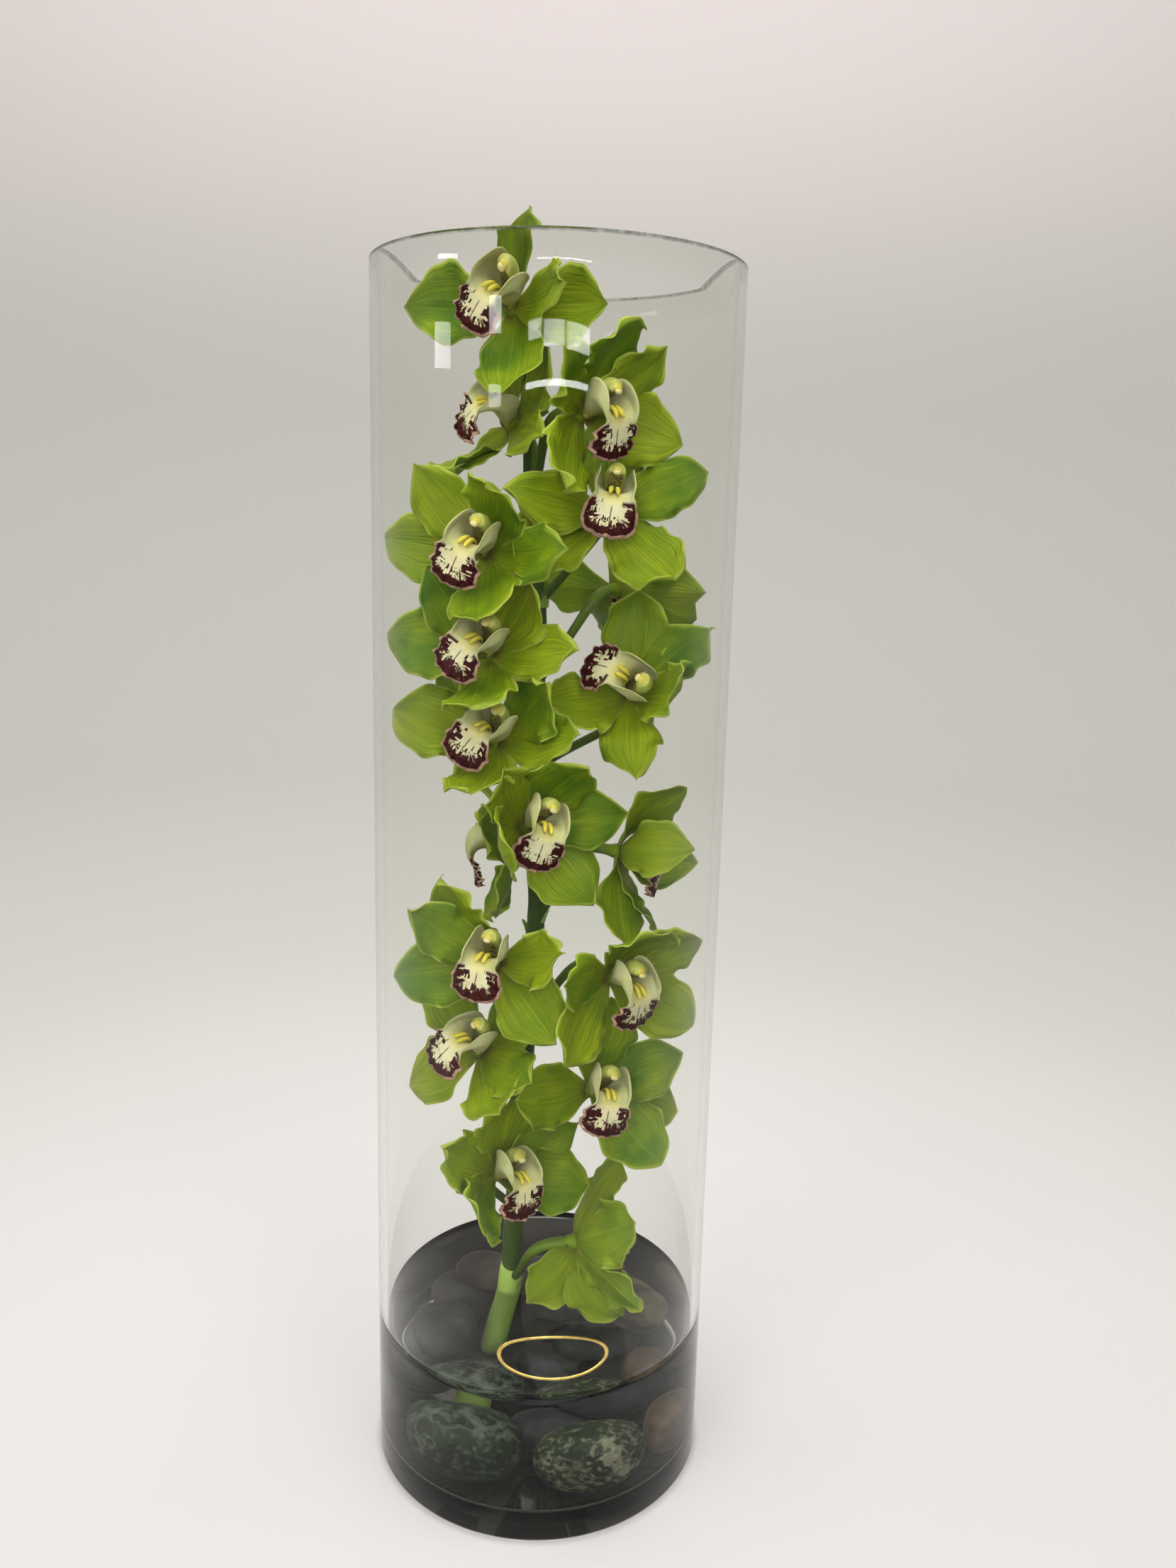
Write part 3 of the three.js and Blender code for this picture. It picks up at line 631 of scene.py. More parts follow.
main = rings_along(stem_at(heights), stem_radius(heights) + swelling, STEM_SIDES, [1, 0, 0])
stem_parts.add(*closed_loft(main), stalk=tube_marks(STEM_SIDES, heights * 0.012, 0 * heights))
tell("flower_stem", stem_parts.make("flower_stem", stem_finish(), "stem_green", ["stem"]))

# %% The sheath and the bracts
SHEATH_SIDES, SHEATH_STATIONS = 30, 16
BRACT_WIDTH, BRACT_LENGTH = 3.4, 8


def wrap(t, low, high, slant, thick):
    """A sleeve round the stem: its upper edge rises by the slant on one side, and thins to the stem's skin."""
    t = t[:, None]
    angle = circle(SHEATH_SIDES)[None]
    z = low + (high - low + slant * np.cos(angle - 2.0)) * t
    reach = stem_radius(z) + thick * fade(t, 0, 0.05) * (1 - 0.75 * fade(t, 0.9, 1.0)) - 0.3 * (t == 1)
    return stem_at(z) + joined(reach * np.cos(angle), reach * np.sin(angle), 0)


def bract(at, z):
    """A small pointed scale under a stalk: its middle surface leans out from the stem as the way along to the
    power 1.5, and its mark holds the place across and the way along."""
    root = stem_at(z - 3)
    away = unit((np.array(at, float) - root) * [1, 1, 0])
    s = np.linspace(0, 1, 10)[:, None]
    v = np.linspace(-1, 1, 9)[None]
    width = BRACT_WIDTH * np.sqrt(1 - s**1.6 * 0.97)
    reach = stem_radius(z) + 0.7 + 3.2 * s**1.5 - 0.9 * v**2 * width / BRACT_WIDTH
    middle = root + away * reach[..., None] + np.cross([0, 0, 1], away) * (width * v)[..., None]
    middle[..., 2] += BRACT_LENGTH * s
    return middle, joined(v, s, 0)


sheath_parts = Parts()
t = np.linspace(0, 1, SHEATH_STATIONS)
sheath_parts.add(*closed_loft(wrap(t, 26, 110, 2.5, 1.1)), stalk=tube_marks(SHEATH_SIDES, t, 0 * t))
for (at, *_), z in zip(BLOOMS, nodes_at):
    middle, marks = bract(at, z)
    sheath_parts.add(*thin_sheet(middle, 0.5), stalk=marks)
tell("sheath_and_bracts", sheath_parts.make("sheath_and_bracts", sheath_finish(), "stem_green"))

# %% [markdown]
# ## The tepals
#
# Three sepals and two petals, all much alike, waxy and yellow-green. A tepal rises from a narrow foot, widens
# past its middle and ends in a blunt tip. Its middle line bends forward as an arc, the blade is cupped across,
# a soft fold runs down its middle, fine veins lie side by side along it and its margin waves. Each blade is one
# grid with a length and a width parameter, worked out at once and thickened along its own normal.

# %% The shape of a blade
SEPAL = dict(length=56.5, width=20.1, lift=6, bend=16, cup=0.16, wave=1.6, side=0, point=0.66, back=2, hood=2.2)
PETAL = dict(length=54.5, width=16.6, lift=12, bend=20, cup=0.12, wave=1.4, side=5, point=0.82, back=0, hood=-1.6)
TEPALS = [(SEPAL, 0), (PETAL, 1), (SEPAL, 1), (SEPAL, -1), (PETAL, -1)]
CLAW, WIDEST = 0.2, 0.56
BLADE_ROWS, BLADE_COLUMNS = 44, 25


def half_width(s, kind, sharp):
    """From a narrow foot up to the widest place as a sine, then down to the tip as (1 - t^2.3) to a power,
    which is higher for a sharper tip."""
    foot = kind["width"] * (CLAW + (1 - CLAW) * np.sin(np.pi / 2 * np.clip(s / WIDEST, 0, 1)) ** 1.2)
    t = np.clip((s - WIDEST) / (1 - WIDEST), 0, 1)
    tip = np.maximum(0.4, kind["width"] * (1 - t**2.3) ** (kind["point"] + sharp))
    return np.where(s < WIDEST, foot, tip)


def blade(kind, hand, angle, lift, twist, size, seed):
    """The middle surface in the bloom's frame, its thickness and its marks.

    Middle line: an arc that starts at the root's lift and turns by the bend. Across: half-width times v, cupped
    as v squared and wrung by the twist. On top: a slow wave on the margin as in the solid, a livelier one that
    grows as the fourth power of v, a fold along the middle, fine ribs, a margin that rolls back, and a tip that
    hooks back or hoods forward. The seed gives each blade its own outline, tip and ruffle."""
    chance = np.sin(seed * np.array([3.7, 7.3, 5.1, 9.7])) * 0.5 + 0.5
    s = 1 - (1 - np.linspace(0, 1, BLADE_ROWS)[:, None]) ** 1.35
    w = np.linspace(-1, 1, BLADE_COLUMNS)[None]
    v = w * (0.72 + 0.28 * w**2)
    edge = np.tanh(6 * v)
    e = np.array([math.sin(math.radians(angle)), math.cos(math.radians(angle)), 0])
    level = np.array([e[1], -e[0], 0])
    out = np.array([0, 0, 1.0])
    a = math.radians(kind["lift"] + 0.4 * lift) + math.radians(kind["bend"] + 1.2 * lift + 0.1) * s
    start, bend = a[0, 0], a[-1, 0] - a[0, 0]
    length = kind["length"] * size / bend
    half = half_width(s, kind, 0.4 * chance[0]) * size
    uneven = 0.05 * np.sin(9 * s + seed) + 0.04 * np.sin(21 * s + 2 * seed + edge)
    half = half * (1 + 0.06 * v * math.sin(seed) + uneven * fade(s, 0.1, 0.4))
    x = half * v
    depth, _ = edge_distance(joined(x, kind["length"] * size * s))
    far = np.abs(v)
    wave = kind["wave"] * np.sin(9.5 * s + 1.7 * v + angle) * far**3 * np.minimum(1, 3 * s)
    fine = np.sin(19 * s + seed + 1.6 * edge) + 0.5 * np.sin(34 * s + 2.2 * seed - 2 * edge)
    wave = wave + (1.2 + 1.4 * chance[1]) * fine * far**4 * fade(s, 0.12, 0.45)
    fold = -0.95 * np.exp(-np.abs(x) / 3.4) * fade(s, 0.0, 0.15) * (1 - 0.6 * fade(s, 0.75, 1))
    ribs = 0.09 * np.cos(v * 50) * fade(depth, 0.5, 4)
    swell = 1.1 * np.sin(5 * s + seed) * np.cos(1.4 * v + seed) * (1 - far**2) * fade(s, 0.1, 0.5)
    tip = (kind["hood"] - 5.5 * chance[2]) * fade(s, 0.76, 1.06) ** 1.5
    rolled = -(0.8 + 2.2 * chance[3]) * fade(far, 0.72, 1) * fade(s, 0.15, 0.45) * (1 - fade(s, 0.85, 1))
    rise = kind["cup"] * half * v**2 + wave + fold + ribs + swell + tip + rolled
    wrung = (math.radians(twist) * fade(s, 0.05, 0.5))[..., None]
    face = out * np.cos(a)[..., None] - e * np.sin(a)[..., None]
    across = level * np.cos(wrung) + face * np.sin(wrung)
    normal = face * np.cos(wrung) - level * np.sin(wrung)
    middle = e * (2 + length * (np.sin(a) - math.sin(start)))[..., None]
    middle = middle + out * (length * (math.cos(start) - np.cos(a)) - kind["back"])[..., None]
    middle = middle - level * (hand * kind["side"] * s**2)[..., None]
    middle = middle + across * x[..., None] + normal * rise[..., None]
    thick = 0.35 + 0.65 * fade(depth, 0, 2.5)
    return middle, thick, joined(s, 18 * v, depth)


# %% [markdown]
# The skin of a tepal is satin wax over green flesh. Light goes a little way in, so it gets some subsurface
# scattering. Its colour is not even: the margin is a paler line, the parallel veins are a touch darker, the
# foot by the lip is stained brown, and the back is duller. The marks say where on the blade each point is.


# %% Waxy green
def tepal_finish():
    """Reads the blade's marks: way along, millimetres across and millimetres from the margin; a number of its
    own for each tepal, and which face it is."""
    finish, start = new_finish(
        "tepal_wax", Roughness=0.45, Subsurface_Weight=0.2, Subsurface_Scale=0.004,
        Subsurface_Radius=(0.6, 1.0, 0.12), Specular_IOR_Level=0.1)
    along, across, depth = start.mark("blade")
    own, front, _ = start.mark("tepal")
    fine = start.noise(230, 3, 0.6)
    lines = start.noise(1.0, 3, 0.65, start.vector(across * 0.9, along * 1.6, own * 20)).between(0.35, 0.65)
    stain = (1 - along.between(0.03, 0.17)) * start.noise(160, 2).between(0.35, 0.6)
    leaf = start.clouds(34, 3, (0.052, 0.130, 0.001), (0.222, 0.286, 0.004), 0.55).painted(
        (own.between(0, 1), 0.55, (0.290, 0.330, 0.006)),
        (lines, 0.5, (0.048, 0.116, 0.001)),
        (fine.between(0.45, 0.75), 0.15, (0.23, 0.28, 0.006)),
        (1 - abs(across).between(0.1, 1.1), 0.35, (0.20, 0.275, 0.012)),
        (1 - depth.between(0.15, 1.8), 0.7, (0.39, 0.45, 0.07)),
        (1 - along.between(0.02, 0.3), 0.5, (0.21, 0.245, 0.012)),
        (stain, 0.75, (0.10, 0.045, 0.018)),
        (1 - front.between(0, 1), 0.35, (0.20, 0.27, 0.016)),
    )
    skin = relief(lines + start.noise(1500, 2) * 0.4, 0.00022)
    return plug(finish, Base_Color=leaf, Roughness=fine.between(0.3, 0.8, 0.42, 0.54), Normal=skin)


tepal_skin = tepal_finish()

# %% Eighteen whorls of five
FREE, SOFT = 90, 5.5


def placing(at, axes):
    """The way from a bloom's frame to the vase's. Whatever lies more than 90 mm from the axis is drawn in, as a
    hyperbolic tangent, to stay 1 mm inside the glass."""
    def place(points):
        placed = points @ axes + np.array(at, float)
        out = np.maximum(np.hypot(placed[:, 0], placed[:, 1]), 1.0)
        placed[:, :2] *= (np.where(out > FREE, FREE + SOFT * np.tanh((out - FREE) / SOFT), out) / out)[:, None]
        return placed
    return place


def hub_shell(size):
    """The short neck behind the tepals: a turned profile from the ovary out and over to the face."""
    z = np.array([-9.5, -8, -6, -4, -2, -0.5, 0.6, 1.1]) * size
    r = np.array([3.2, 3.3, 3.7, 4.3, 4.8, 4.6, 3.4, 1.8]) * size
    return closed_loft(spun(r, z, 20))


whorls = []
for number, (at, turn, tilt, roll, size, angles, lifts, twists) in enumerate(BLOOMS, 1):
    whorl = Parts(placing(at, bloom_axes(turn, tilt, roll)))
    for order, ((kind, hand), angle, lift, twist) in enumerate(zip(TEPALS, angles, lifts, twists)):
        seed = number * 2.4 + order * 1.7
        middle, thick, place = blade(kind, hand, angle, lift, twist, size, seed)
        own = (math.sin(seed * 3.1) + 1) / 2
        faces = np.repeat([[own, 1, 0], [own, 0, 0]], thick.size, axis=0)
        whorl.add(*thin_sheet(middle, thick), blade=place, tepal=faces)
    whorl.add(*hub_shell(size), blade=(0.3, 8, 5), tepal=(0.3, 0, 0))
    whorls.append(whorl.make(f"tepals_{number:02d}", tepal_skin, "tepal_green", [f"bloom_{number:02d}"]))
tell("whorls of tepals", *whorls)

# %% [markdown]
# ## The lip
#
# The lip is what makes the flower a cymbidium. Its foot is a trough whose walls stand up as two pale side lobes
# that hold the column between them. Then the lip turns down, and its front lobe spreads, hangs and ruffles:
# white, with a ring of burgundy blotches inside a dusty pink margin and one dark line down its middle. Two
# yellow ridges, the callus, end where the lip turns down. It is again one sheet: a bent middle line, a
# half-width and a wall height along it, and ruffles that follow the margin.

# %% The lip's middle line and outline
# Its length, how far up and out its root is, and at some places along it the half-width and the wall's height
LIP_LENGTH, LIP_UP, LIP_OUT = 46.0, -2.2, 2.8
LIP_ALONG = [0, 0.2, 0.38, 0.5, 0.74, 1]
LIP_WIDTH = [3, 9, 12, 12.5, 14.5, 14.5]
LIP_WALL = [3, 11.5, 15.5, 8, -1, -2.2]
LIP_ROWS, LIP_COLUMNS = 70, 53


def lip_line(s):
    """How far the lip's floor has turned at s, and its height and reach there. It rises at 14 degrees, then
    turns down by 112 degrees between a quarter and two thirds of its length."""
    steps = np.linspace(0, 1, 241)
    turn = np.radians(112 * fade(steps, 0.28, 0.68) - 14)
    step = LIP_LENGTH / (len(steps) - 1)
    y = LIP_UP - np.cumsum(np.sin(turn)) * step
    z = LIP_OUT + np.cumsum(np.cos(turn)) * step
    return [np.interp(s, steps, values) for values in (turn, y, z)]


def lip_sheet(size, seed):
    """The lip's middle surface with its marks.

    A wall of the given height goes up from the floor as v squared and draws in as it rises. The front lobe's
    outline closes as (1 - t^2.6)^0.5, and its margin ruffles as a sine of the way round it."""
    s = (1 - (1 - np.linspace(0, 1, LIP_ROWS)) ** 1.25)[:, None]
    w = np.linspace(-1, 1, LIP_COLUMNS)[None]
    v = w * (0.8 + 0.2 * w**2)
    a, y, z = lip_line(s)
    t = np.clip((s - 0.8) / 0.2, 0, 1)
    half = through(s, LIP_ALONG, LIP_WIDTH) * np.sqrt(np.maximum(1 - t**2.6, 0.004))
    half = half - 1.5 * np.exp(-(((s - 0.56) / 0.035) ** 2))
    wall = through(s, LIP_ALONG, LIP_WALL)
    trough = np.clip(wall / 12, 0, 1)
    far = np.abs(v)
    x = half * (v + trough * v * (1 - far)) - 3.6 * trough * fade(far, 0.6, 1.0) * np.sign(v)
    depth, way = edge_distance(joined(half * v * (1 + 0.6 * trough), LIP_LENGTH * s))
    way = way - way[:, LIP_COLUMNS // 2].max() / 2
    front = fade(s, 0.52, 0.64)
    near = np.clip(1 - depth / 6.5, 0, 1) ** 1.6
    ruffle = 1.7 * np.sin(way / 1.25 + seed) + 0.9 * np.sin(way / 0.66 + 2 * seed)
    lobes = near * (0.6 * np.sin(way / 2.1 + seed) + 0.35)
    rise = wall * v**2 + near * front * (ruffle - 1.2) + (1 - front) * lobes * trough
    middle = joined(x, y, z) + joined(0, np.cos(a), np.sin(a)) * rise[..., None]
    thick = 0.45 + 0.5 * fade(depth, 0, 3)
    return middle * size, thick * size, joined(s, half * v, depth), joined(way, front, 0)


# %% The column, its cap and the callus
# At some places along the column: how far up the face and out of it its line is, and its radius
COLUMN_ALONG = [0, 0.09, 0.5, 0.82, 1]
COLUMN_UP = [-0.8, -0.8, 7.5, 12.6, 13.2]
COLUMN_OUT = [1.5, 3.6, 12.5, 20.5, 25.5]
COLUMN_RADIUS = [2.4, 3.0, 4.7, 5.6, 4.2]
COLUMN_SIDES = 28
# The cap and its beak: middle, half-axes, tilt and mark
CAPS = [((0, 13.4, 24.2), (3.1, 2.4, 3.4), 32, 0.55), ((0, 11.4, 26.6), (2.2, 1.5, 1.5), 10, 1.0)]
ON_RIDGE = (0.5, 2, 9)


def column_rings(size):
    """An arched club: its radius swells towards the end, and its underside is scooped flat and slightly
    hollow. Its mark holds the underside and the way along."""
    t = np.linspace(0, 1, 30)
    line = joined(0, through(t, COLUMN_ALONG, COLUMN_UP), through(t, COLUMN_ALONG, COLUMN_OUT))
    radius = through(t, COLUMN_ALONG, COLUMN_RADIUS)
    under = np.clip(-np.sin(circle(COLUMN_SIDES)), 0, 1)
    scoop = 1 - 0.45 * fade(t, 0.1, 0.4)[:, None] * under[None] ** 1.5
    mark = np.concatenate([joined(under, t[:, None], 0).reshape(-1, 3), [[0, 0, 0], [0, 1, 0]]])
    return rings_along(line, radius, COLUMN_SIDES, [1, 0, 0], scoop) * size, mark


def oval_blob(centre, half, tilt):
    """A ball stretched to three half-axes and tilted about x."""
    return closed_loft(ball(18, 24) * half @ turning(0, math.radians(tilt)).T + centre)


def callus_rings(hand, size):
    """One yellow ridge: a low keel along the lip's floor that swells into a raised, rounded ear as the lip
    turns down."""
    t = np.linspace(0, 1, 22)
    a, y, z = lip_line(0.24 + 0.3 * t)
    lifted = 0.7 + 2.3 * fade(t, 0.1, 0.75)
    line = joined(hand * (2.0 - 1.2 * t + 1.4 * t**3), y + lifted * np.cos(a), z + lifted * np.sin(a))
    radius = (0.45 + 0.8 * fade(t, 0.1, 0.8)) * np.sqrt(1 - np.clip((t - 0.82) / 0.2, 0, 1) ** 2)
    return rings_along(line, radius, 16, [1, 0, 0]) * size


# %% [markdown]
# The lip's colours need a map, and the marks are one: how far each point is from the margin, and how far round
# the margin it lies. The burgundy ring starts about 1.4 mm inside the margin, and streaks of different length
# run inwards from it. A stretched noise on those two numbers draws them, so they follow the ruffles.


# %% Cream and burgundy
def lip_finish():
    """Cream side lobes, a white front lobe with its burgundy ring, and a yellow callus."""
    finish, start = new_finish(
        "lip_wax", Roughness=0.45, Subsurface_Weight=0.1, Subsurface_Scale=0.003,
        Subsurface_Radius=(1.0, 0.7, 0.4), Specular_IOR_Level=0.06)
    along, across, depth = start.mark("blade")
    way, front, yellow = start.mark("rim")
    own = start.mark("tepal")[0]
    chart = start.vector(way, depth * 0.3, own * 9)
    streak = start.noise(0.75, 2, 0.55, chart)
    blot = start.noise(0.9, 2, 0.6, start.vector(way, depth, own * 7))
    reach = streak.between(0.36, 0.64, 3.6, 10.8) + along.between(0.76, 0.98) * 2.2
    inner = 1 - (depth - reach).between(-0.3, 0.3)
    ring = inner * depth.between(1.1, 1.8) * blot.between(0.22, 0.33) * front.between(0.4, 0.8)
    off = abs(across)
    line = (1 - off.between(0.2, 0.5)) * along.between(0.62, 0.68) * (1 - along.between(0.88, 0.94))
    dots = 1 - start.node("TexVoronoi", None, {"Vector": chart, "Scale": 0.5}).between(0.09, 0.15)
    dots = dots * (1 - depth.between(7.5, 10)) * front.between(0.6, 0.95)
    cream = start.clouds(120, 3, (0.54, 0.50, 0.29), (0.60, 0.57, 0.36))
    side = start.clouds(90, 3, (0.40, 0.41, 0.17), (0.50, 0.49, 0.26))
    lobe = front.between(0.1, 0.8).blend(side, cream).painted(
        ((1 - along.between(0.05, 0.36)) * (1 - off.between(3, 7)), 0.75, (0.24, 0.21, 0.06)),
        ((1 - off.between(2, 6)) * (1 - along.between(0.52, 0.7)), 0.5, (0.70, 0.60, 0.16)),
        ((1 - depth.between(1.0, 2.2)) * front.between(0.4, 0.9), 0.85, (0.33, 0.155, 0.125)),
        (ring, 1, (0.030, 0.001, 0.001)),
        (line, 0.85, (0.07, 0.008, 0.008)),
        (dots, 0.9, (0.07, 0.010, 0.010)),
        (yellow.between(0.2, 0.8), 1, (0.58, 0.49, 0.06)),
    )
    return plug(finish, Base_Color=lobe, Normal=relief(start.noise(1100, 2), 0.00008))


def column_finish():
    """Yellow-green back, a dark underside crowded with brown specks, and the yellow cap with its cream beak."""
    finish, start = new_finish(
        "column_wax", Roughness=0.4, Subsurface_Weight=0.08, Subsurface_Scale=0.003, Specular_IOR_Level=0.3)
    under, _, cap = start.mark("column")
    back = start.clouds(200, 2, (0.34, 0.38, 0.07), (0.46, 0.47, 0.11))
    specks = start.noise(900, 2, 0.6).between(0.45, 0.6).blend((0.25, 0.23, 0.05), (0.055, 0.030, 0.012))
    colour = back.painted(
        (under.between(0.25, 0.7), 1, specks),
        (cap.between(0.2, 0.45), 1, (0.54, 0.47, 0.07)),
        (cap.between(0.7, 0.9), 1, (0.62, 0.54, 0.22)),
    )
    return plug(finish, Base_Color=colour, Normal=relief(start.noise(1300, 2), 0.00008))


lip_skin, column_skin = lip_finish(), column_finish()

# %% Eighteen lips and columns
lips = []
for number, (at, turn, tilt, roll, size, *_) in enumerate(BLOOMS, 1):
    place = placing(at, bloom_axes(turn, tilt, roll))
    seed = number * 1.9
    own = ((math.sin(seed * 5.3) + 1) / 2, 0, 0)
    labellum = Parts(place)
    middle, thick, blade_mark, rim_mark = lip_sheet(size, seed)
    labellum.add(*thin_sheet(middle, thick), blade=blade_mark, rim=rim_mark, tepal=own)
    for hand in (-1, 1):
        labellum.add(*closed_loft(callus_rings(hand, size)), blade=ON_RIDGE, rim=(0, 0, 1), tepal=own)
    column = Parts(place)
    rings, mark = column_rings(size)
    column.add(*closed_loft(rings), column=mark)
    for centre, half, tip, cap_mark in CAPS:
        column.add(*oval_blob(np.array(centre) * size, np.array(half) * size, tip), column=(0, 1, cap_mark))
    for parts, name, skin in ((labellum, "labellum", lip_skin), (column, "column", column_skin)):
        lips.append(parts.make(f"{name}_{number:02d}", skin, "lip_cream", [f"lip_{number:02d}"]))
tell("lips and columns", *lips)

# %% [markdown]
# ## The oval ring on the glass
#
# The front of the glass carries a small oval gilt ring. It is a flat band laid on the cylinder: an oval drawn in
# millimetres round and up the glass, then wrapped onto it.

# %% A gilt oval
# The oval's half-axes, the height and the turn of its middle; the band's width and its two faces off the glass
OVAL_ACROSS, OVAL_UP, OVAL_AT, OVAL_TURN = 32.0, 14.0, 120.0, math.radians(4.6)
BAND, ON_GLASS, BAND_TOP = 2.3, 0.02, 0.14
BAND_STEPS = 160


def gilt_ring():
    """Two ovals, one 2.3 mm inside the other, wrapped onto the glass at a middle 4.6 degrees right of its
    front. The band is 0.12 mm thick, and its section is a thin rectangle."""
    a = circle(BAND_STEPS)
    rings = []
    for inset, lift in ((0, ON_GLASS), (0, BAND_TOP), (-BAND, BAND_TOP), (-BAND, ON_GLASS)):
        u = (OVAL_ACROSS + inset) * np.sign(np.cos(a)) * np.abs(np.cos(a)) ** 0.95
        w = (OVAL_UP + 0.75 * inset) * np.sin(a) - 0.035 * u
        turn = OVAL_TURN + u / RADIUS
        out = RADIUS + lift
        rings.append(joined(out * np.sin(turn), -out * np.cos(turn), OVAL_AT + w))
    return np.stack(rings, axis=1).reshape(-1, 3)


gilt, start = new_finish("gilt", Metallic=1.0, Roughness=0.3)
plug(gilt, Base_Color=start.clouds(300, 3, (0.74, 0.50, 0.13), (0.92, 0.70, 0.24)))
band = Parts().add(gilt_ring(), grid_faces(BAND_STEPS + 1, 4, closed=True)[:, ::-1] % (BAND_STEPS * 4))
tell("gilt_ring", band.make("gilt_ring", gilt, "vase_glass"))

# %% [markdown]
# ## Table, light and camera
#
# The photograph was taken against white paper under soft light from above. A wide pale bowl stands for the
# paper: a floor that curves up into a wall all round, open at the top, so glass has something even to show from
# every side. Its front half, behind the camera, is painted greyer: painted shade for the dim side of the room
# where the camera stands. Windows in that room are mirrored in the glass.

# %% The pale bowl
BOWL_SIDES = 96


def bowl():
    """A turned sheet: flat to 2.2 m, a quarter bend of 0.9 m, then a wall up to 3.2 m."""
    bend = corner(2200, 900, 900, -90, 0, 16)
    rows = np.concatenate([np.linspace((30, 0), (2200, 0), 12), bend[1:], [(3100, 3200)]])
    points = np.concatenate([spun(rows[:, 0], rows[:, 1], BOWL_SIDES).reshape(-1, 3), [(0, 0, 0)]])
    first = np.arange(BOWL_SIDES)
    middle = np.stack([first, np.roll(first, -1), np.full(BOWL_SIDES, len(points) - 1)], axis=1)
    return points, grid_faces(len(rows), BOWL_SIDES, closed=True)[:, ::-1], middle


def paper_finish():
    """White paper: warmer far up the wall, greyer with the distance, darker with painted shade on the camera's
    side, and dark just under the vase, a painted shadow where the real one's thick foot lets no light through."""
    finish, start = new_finish("white_paper", Roughness=0.85)
    place = start.node("TexCoord", out="Object")
    far = place.node("VectorMath", {"operation": "LENGTH"}, {0: place}, out="Value")
    _, depth, height = place.split()
    low = 1 - height.between(0.05, 0.6)
    behind = (depth / far).between(-0.2, 0.6)
    tone = start.clouds(1.6, 3, (0.82, 0.80, 0.79), (0.85, 0.83, 0.82)).painted(
        (far.between(0.2, 1.1), 1, (0.715, 0.705, 0.665)),
        (height.between(1.0, 1.8), 1, (0.85, 0.79, 0.785)),
        # Painted shade: the floor in front, on the camera's side, is darkened.
        (depth.between(-0.9, -0.2, 1, 0) * low, 0.75, (0.30, 0.295, 0.29)),
        # Painted shade: the wall round the front and sides is greyed for the dim side of the room.
        (height.between(0.05, 0.6) * (1 - behind), 1, (0.28, 0.275, 0.27)),
        (1 - far.between(0.094, 0.106), 1, (0.042, 0.042, 0.036)),
    )
    return plug(finish, Base_Color=tone)


table = Parts().add(*bowl()).make("paper_table", paper_finish(), "vase_glass")
tell("paper_table", table)


# %% Soft light from above and from the windows
def stand(name, data, columns, place):
    """Adds a light or a camera at a place, with its own right, up and back as the columns of a matrix."""
    made = bpy.data.objects.new(name, data)
    made.matrix_world = Matrix([[*row, p] for row, p in zip(columns, place)] + [[0, 0, 0, 1]])
    bpy.context.scene.collection.objects.link(made)
    return made


def soft_light(name, place, towards, size, power, colour=(1, 1, 1), mirrored=True):
    """A flat rectangular light at a place, turned to face a point. A mirrored one is a window: it shows in
    glossy and waxy things and adds no light to the paper."""
    lamp = bpy.data.lights.new(name, "AREA")
    lamp.shape, lamp.size, lamp.size_y = "RECTANGLE", *size
    lamp.energy, lamp.color = power, colour
    back = unit(np.array(place, float) - np.array(towards, float))
    side = unit(np.cross([0, 1, 0] if abs(back[2]) > 0.9 else [0, 0, 1], back))
    made = stand(name, lamp, np.stack([side, np.cross(back, side), back], axis=1), place)
    made.visible_camera = False
    made.visible_transmission = False
    if mirrored:
        made.visible_diffuse = False
        lamp.cycles.max_bounces = 4


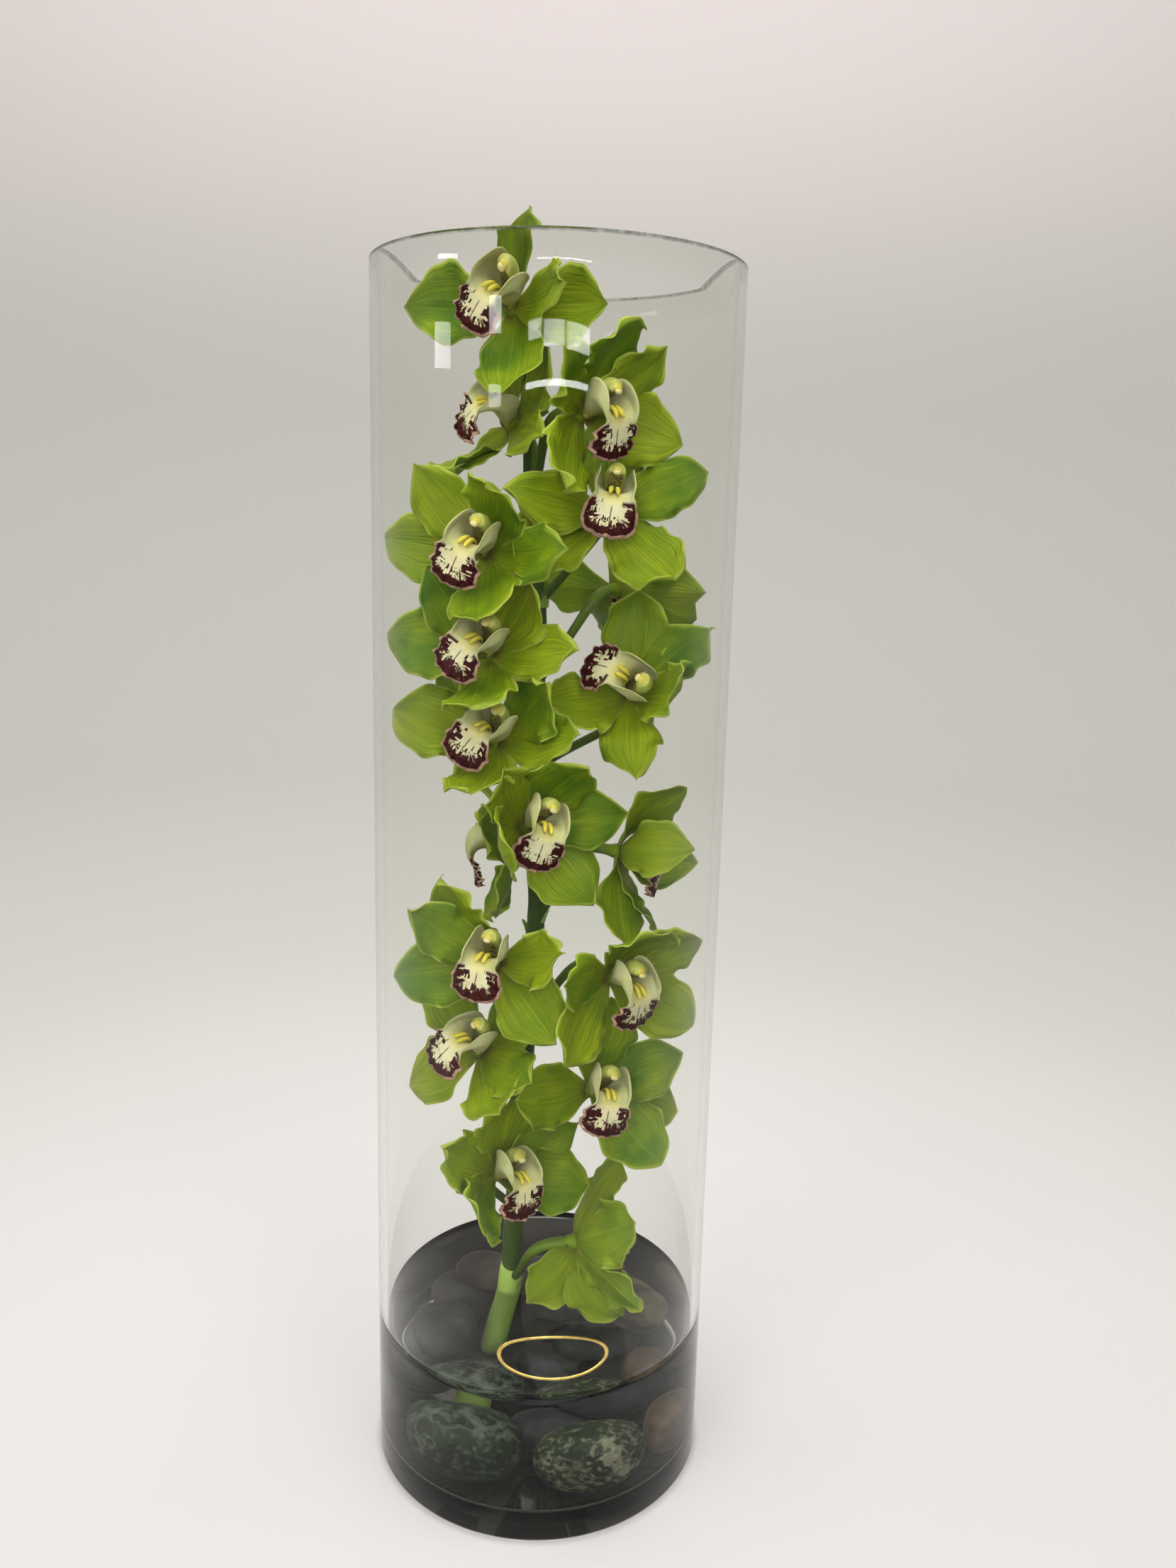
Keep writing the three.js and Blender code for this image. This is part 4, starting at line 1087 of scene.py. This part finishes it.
# Across, height, width, height of the pane and watts, for the panes of the window behind the camera
PANES = [(-0.62, 1.03, 0.36, 0.045, 2.4), (-0.1, 1.015, 0.55, 0.06, 5), (0.55, 1.01, 0.62, 0.065, 6.5),
         (0.0, 0.90, 1.7, 0.016, 7), (0.15, 1.36, 1.5, 0.022, 8)]
MIDDLE = 0.65
soft_light("ceiling", (-0.15, -0.5, 2.6), (0, 0, 0.4), (2.2, 1.6), 56, (1.0, 0.985, 0.96), False)
soft_light("wall_wash", (0.0, 1.7, 2.9), (0, 3.1, 1.5), (2.4, 0.5), 20, (1.0, 0.96, 0.945), False)
soft_light("window_side", (-2.63, -0.96, 1.0), (0, 0, MIDDLE), (0.55, 0.11), 5)
soft_light("transom_side", (-2.6, -1.1, 1.42), (0, 0, 0.7), (0.7, 0.06), 5.5)
soft_light("window_left", (-1.65, -2.27, 1.075), (0, 0, MIDDLE), (0.36, 0.09), 4.5)
soft_light("sill_left", (-1.65, -2.27, 0.88), (0, 0, MIDDLE), (0.36, 0.055), 2.5)
for number, (x, z, wide, tall, power) in enumerate(PANES, 1):
    soft_light(f"pane_{number}", (x, -2.65, z), (x, 0, MIDDLE), (wide, tall), power)

world = bpy.data.worlds.new("room")
world.use_nodes = True
sky = world.node_tree.nodes["Background"]
sky.inputs["Color"].default_value = (0.93, 0.94, 0.96, 1)
sky.inputs["Strength"].default_value = 0.35
bpy.context.scene.world = world
bpy.context.scene.view_settings.view_transform = "Standard"
print("lights:", len(bpy.data.lights))

# %% The camera of the photograph
# Its place in metres, its angles in radians, and its lens
CAMERA_AT = (0, -0.7268, 0.5781)
YAW, PITCH, ROLL = -0.0309, 0.2057, -0.0249
FOCAL_PIXELS, TALL_PIXELS, FILM = 1785.2, 2212, 36


def photo_camera():
    """Stands 0.73 m in front and 0.58 m up, looks down by 11.8 degrees, with a slight turn and roll. A height
    of 2212 pixels holds 1785 pixels of focal length, which is a 29 mm lens on a 36 mm tall frame."""
    lens = bpy.data.cameras.new("photo_camera")
    lens.sensor_fit, lens.sensor_height, lens.lens = "VERTICAL", FILM, FILM * FOCAL_PIXELS / TALL_PIXELS
    lens.clip_start = 0.01
    return stand("photo_camera", lens, facing(YAW, PITCH, ROLL), CAMERA_AT)


bpy.context.scene.camera = photo_camera()
print("lens:", round(bpy.context.scene.camera.data.lens, 2), "mm")
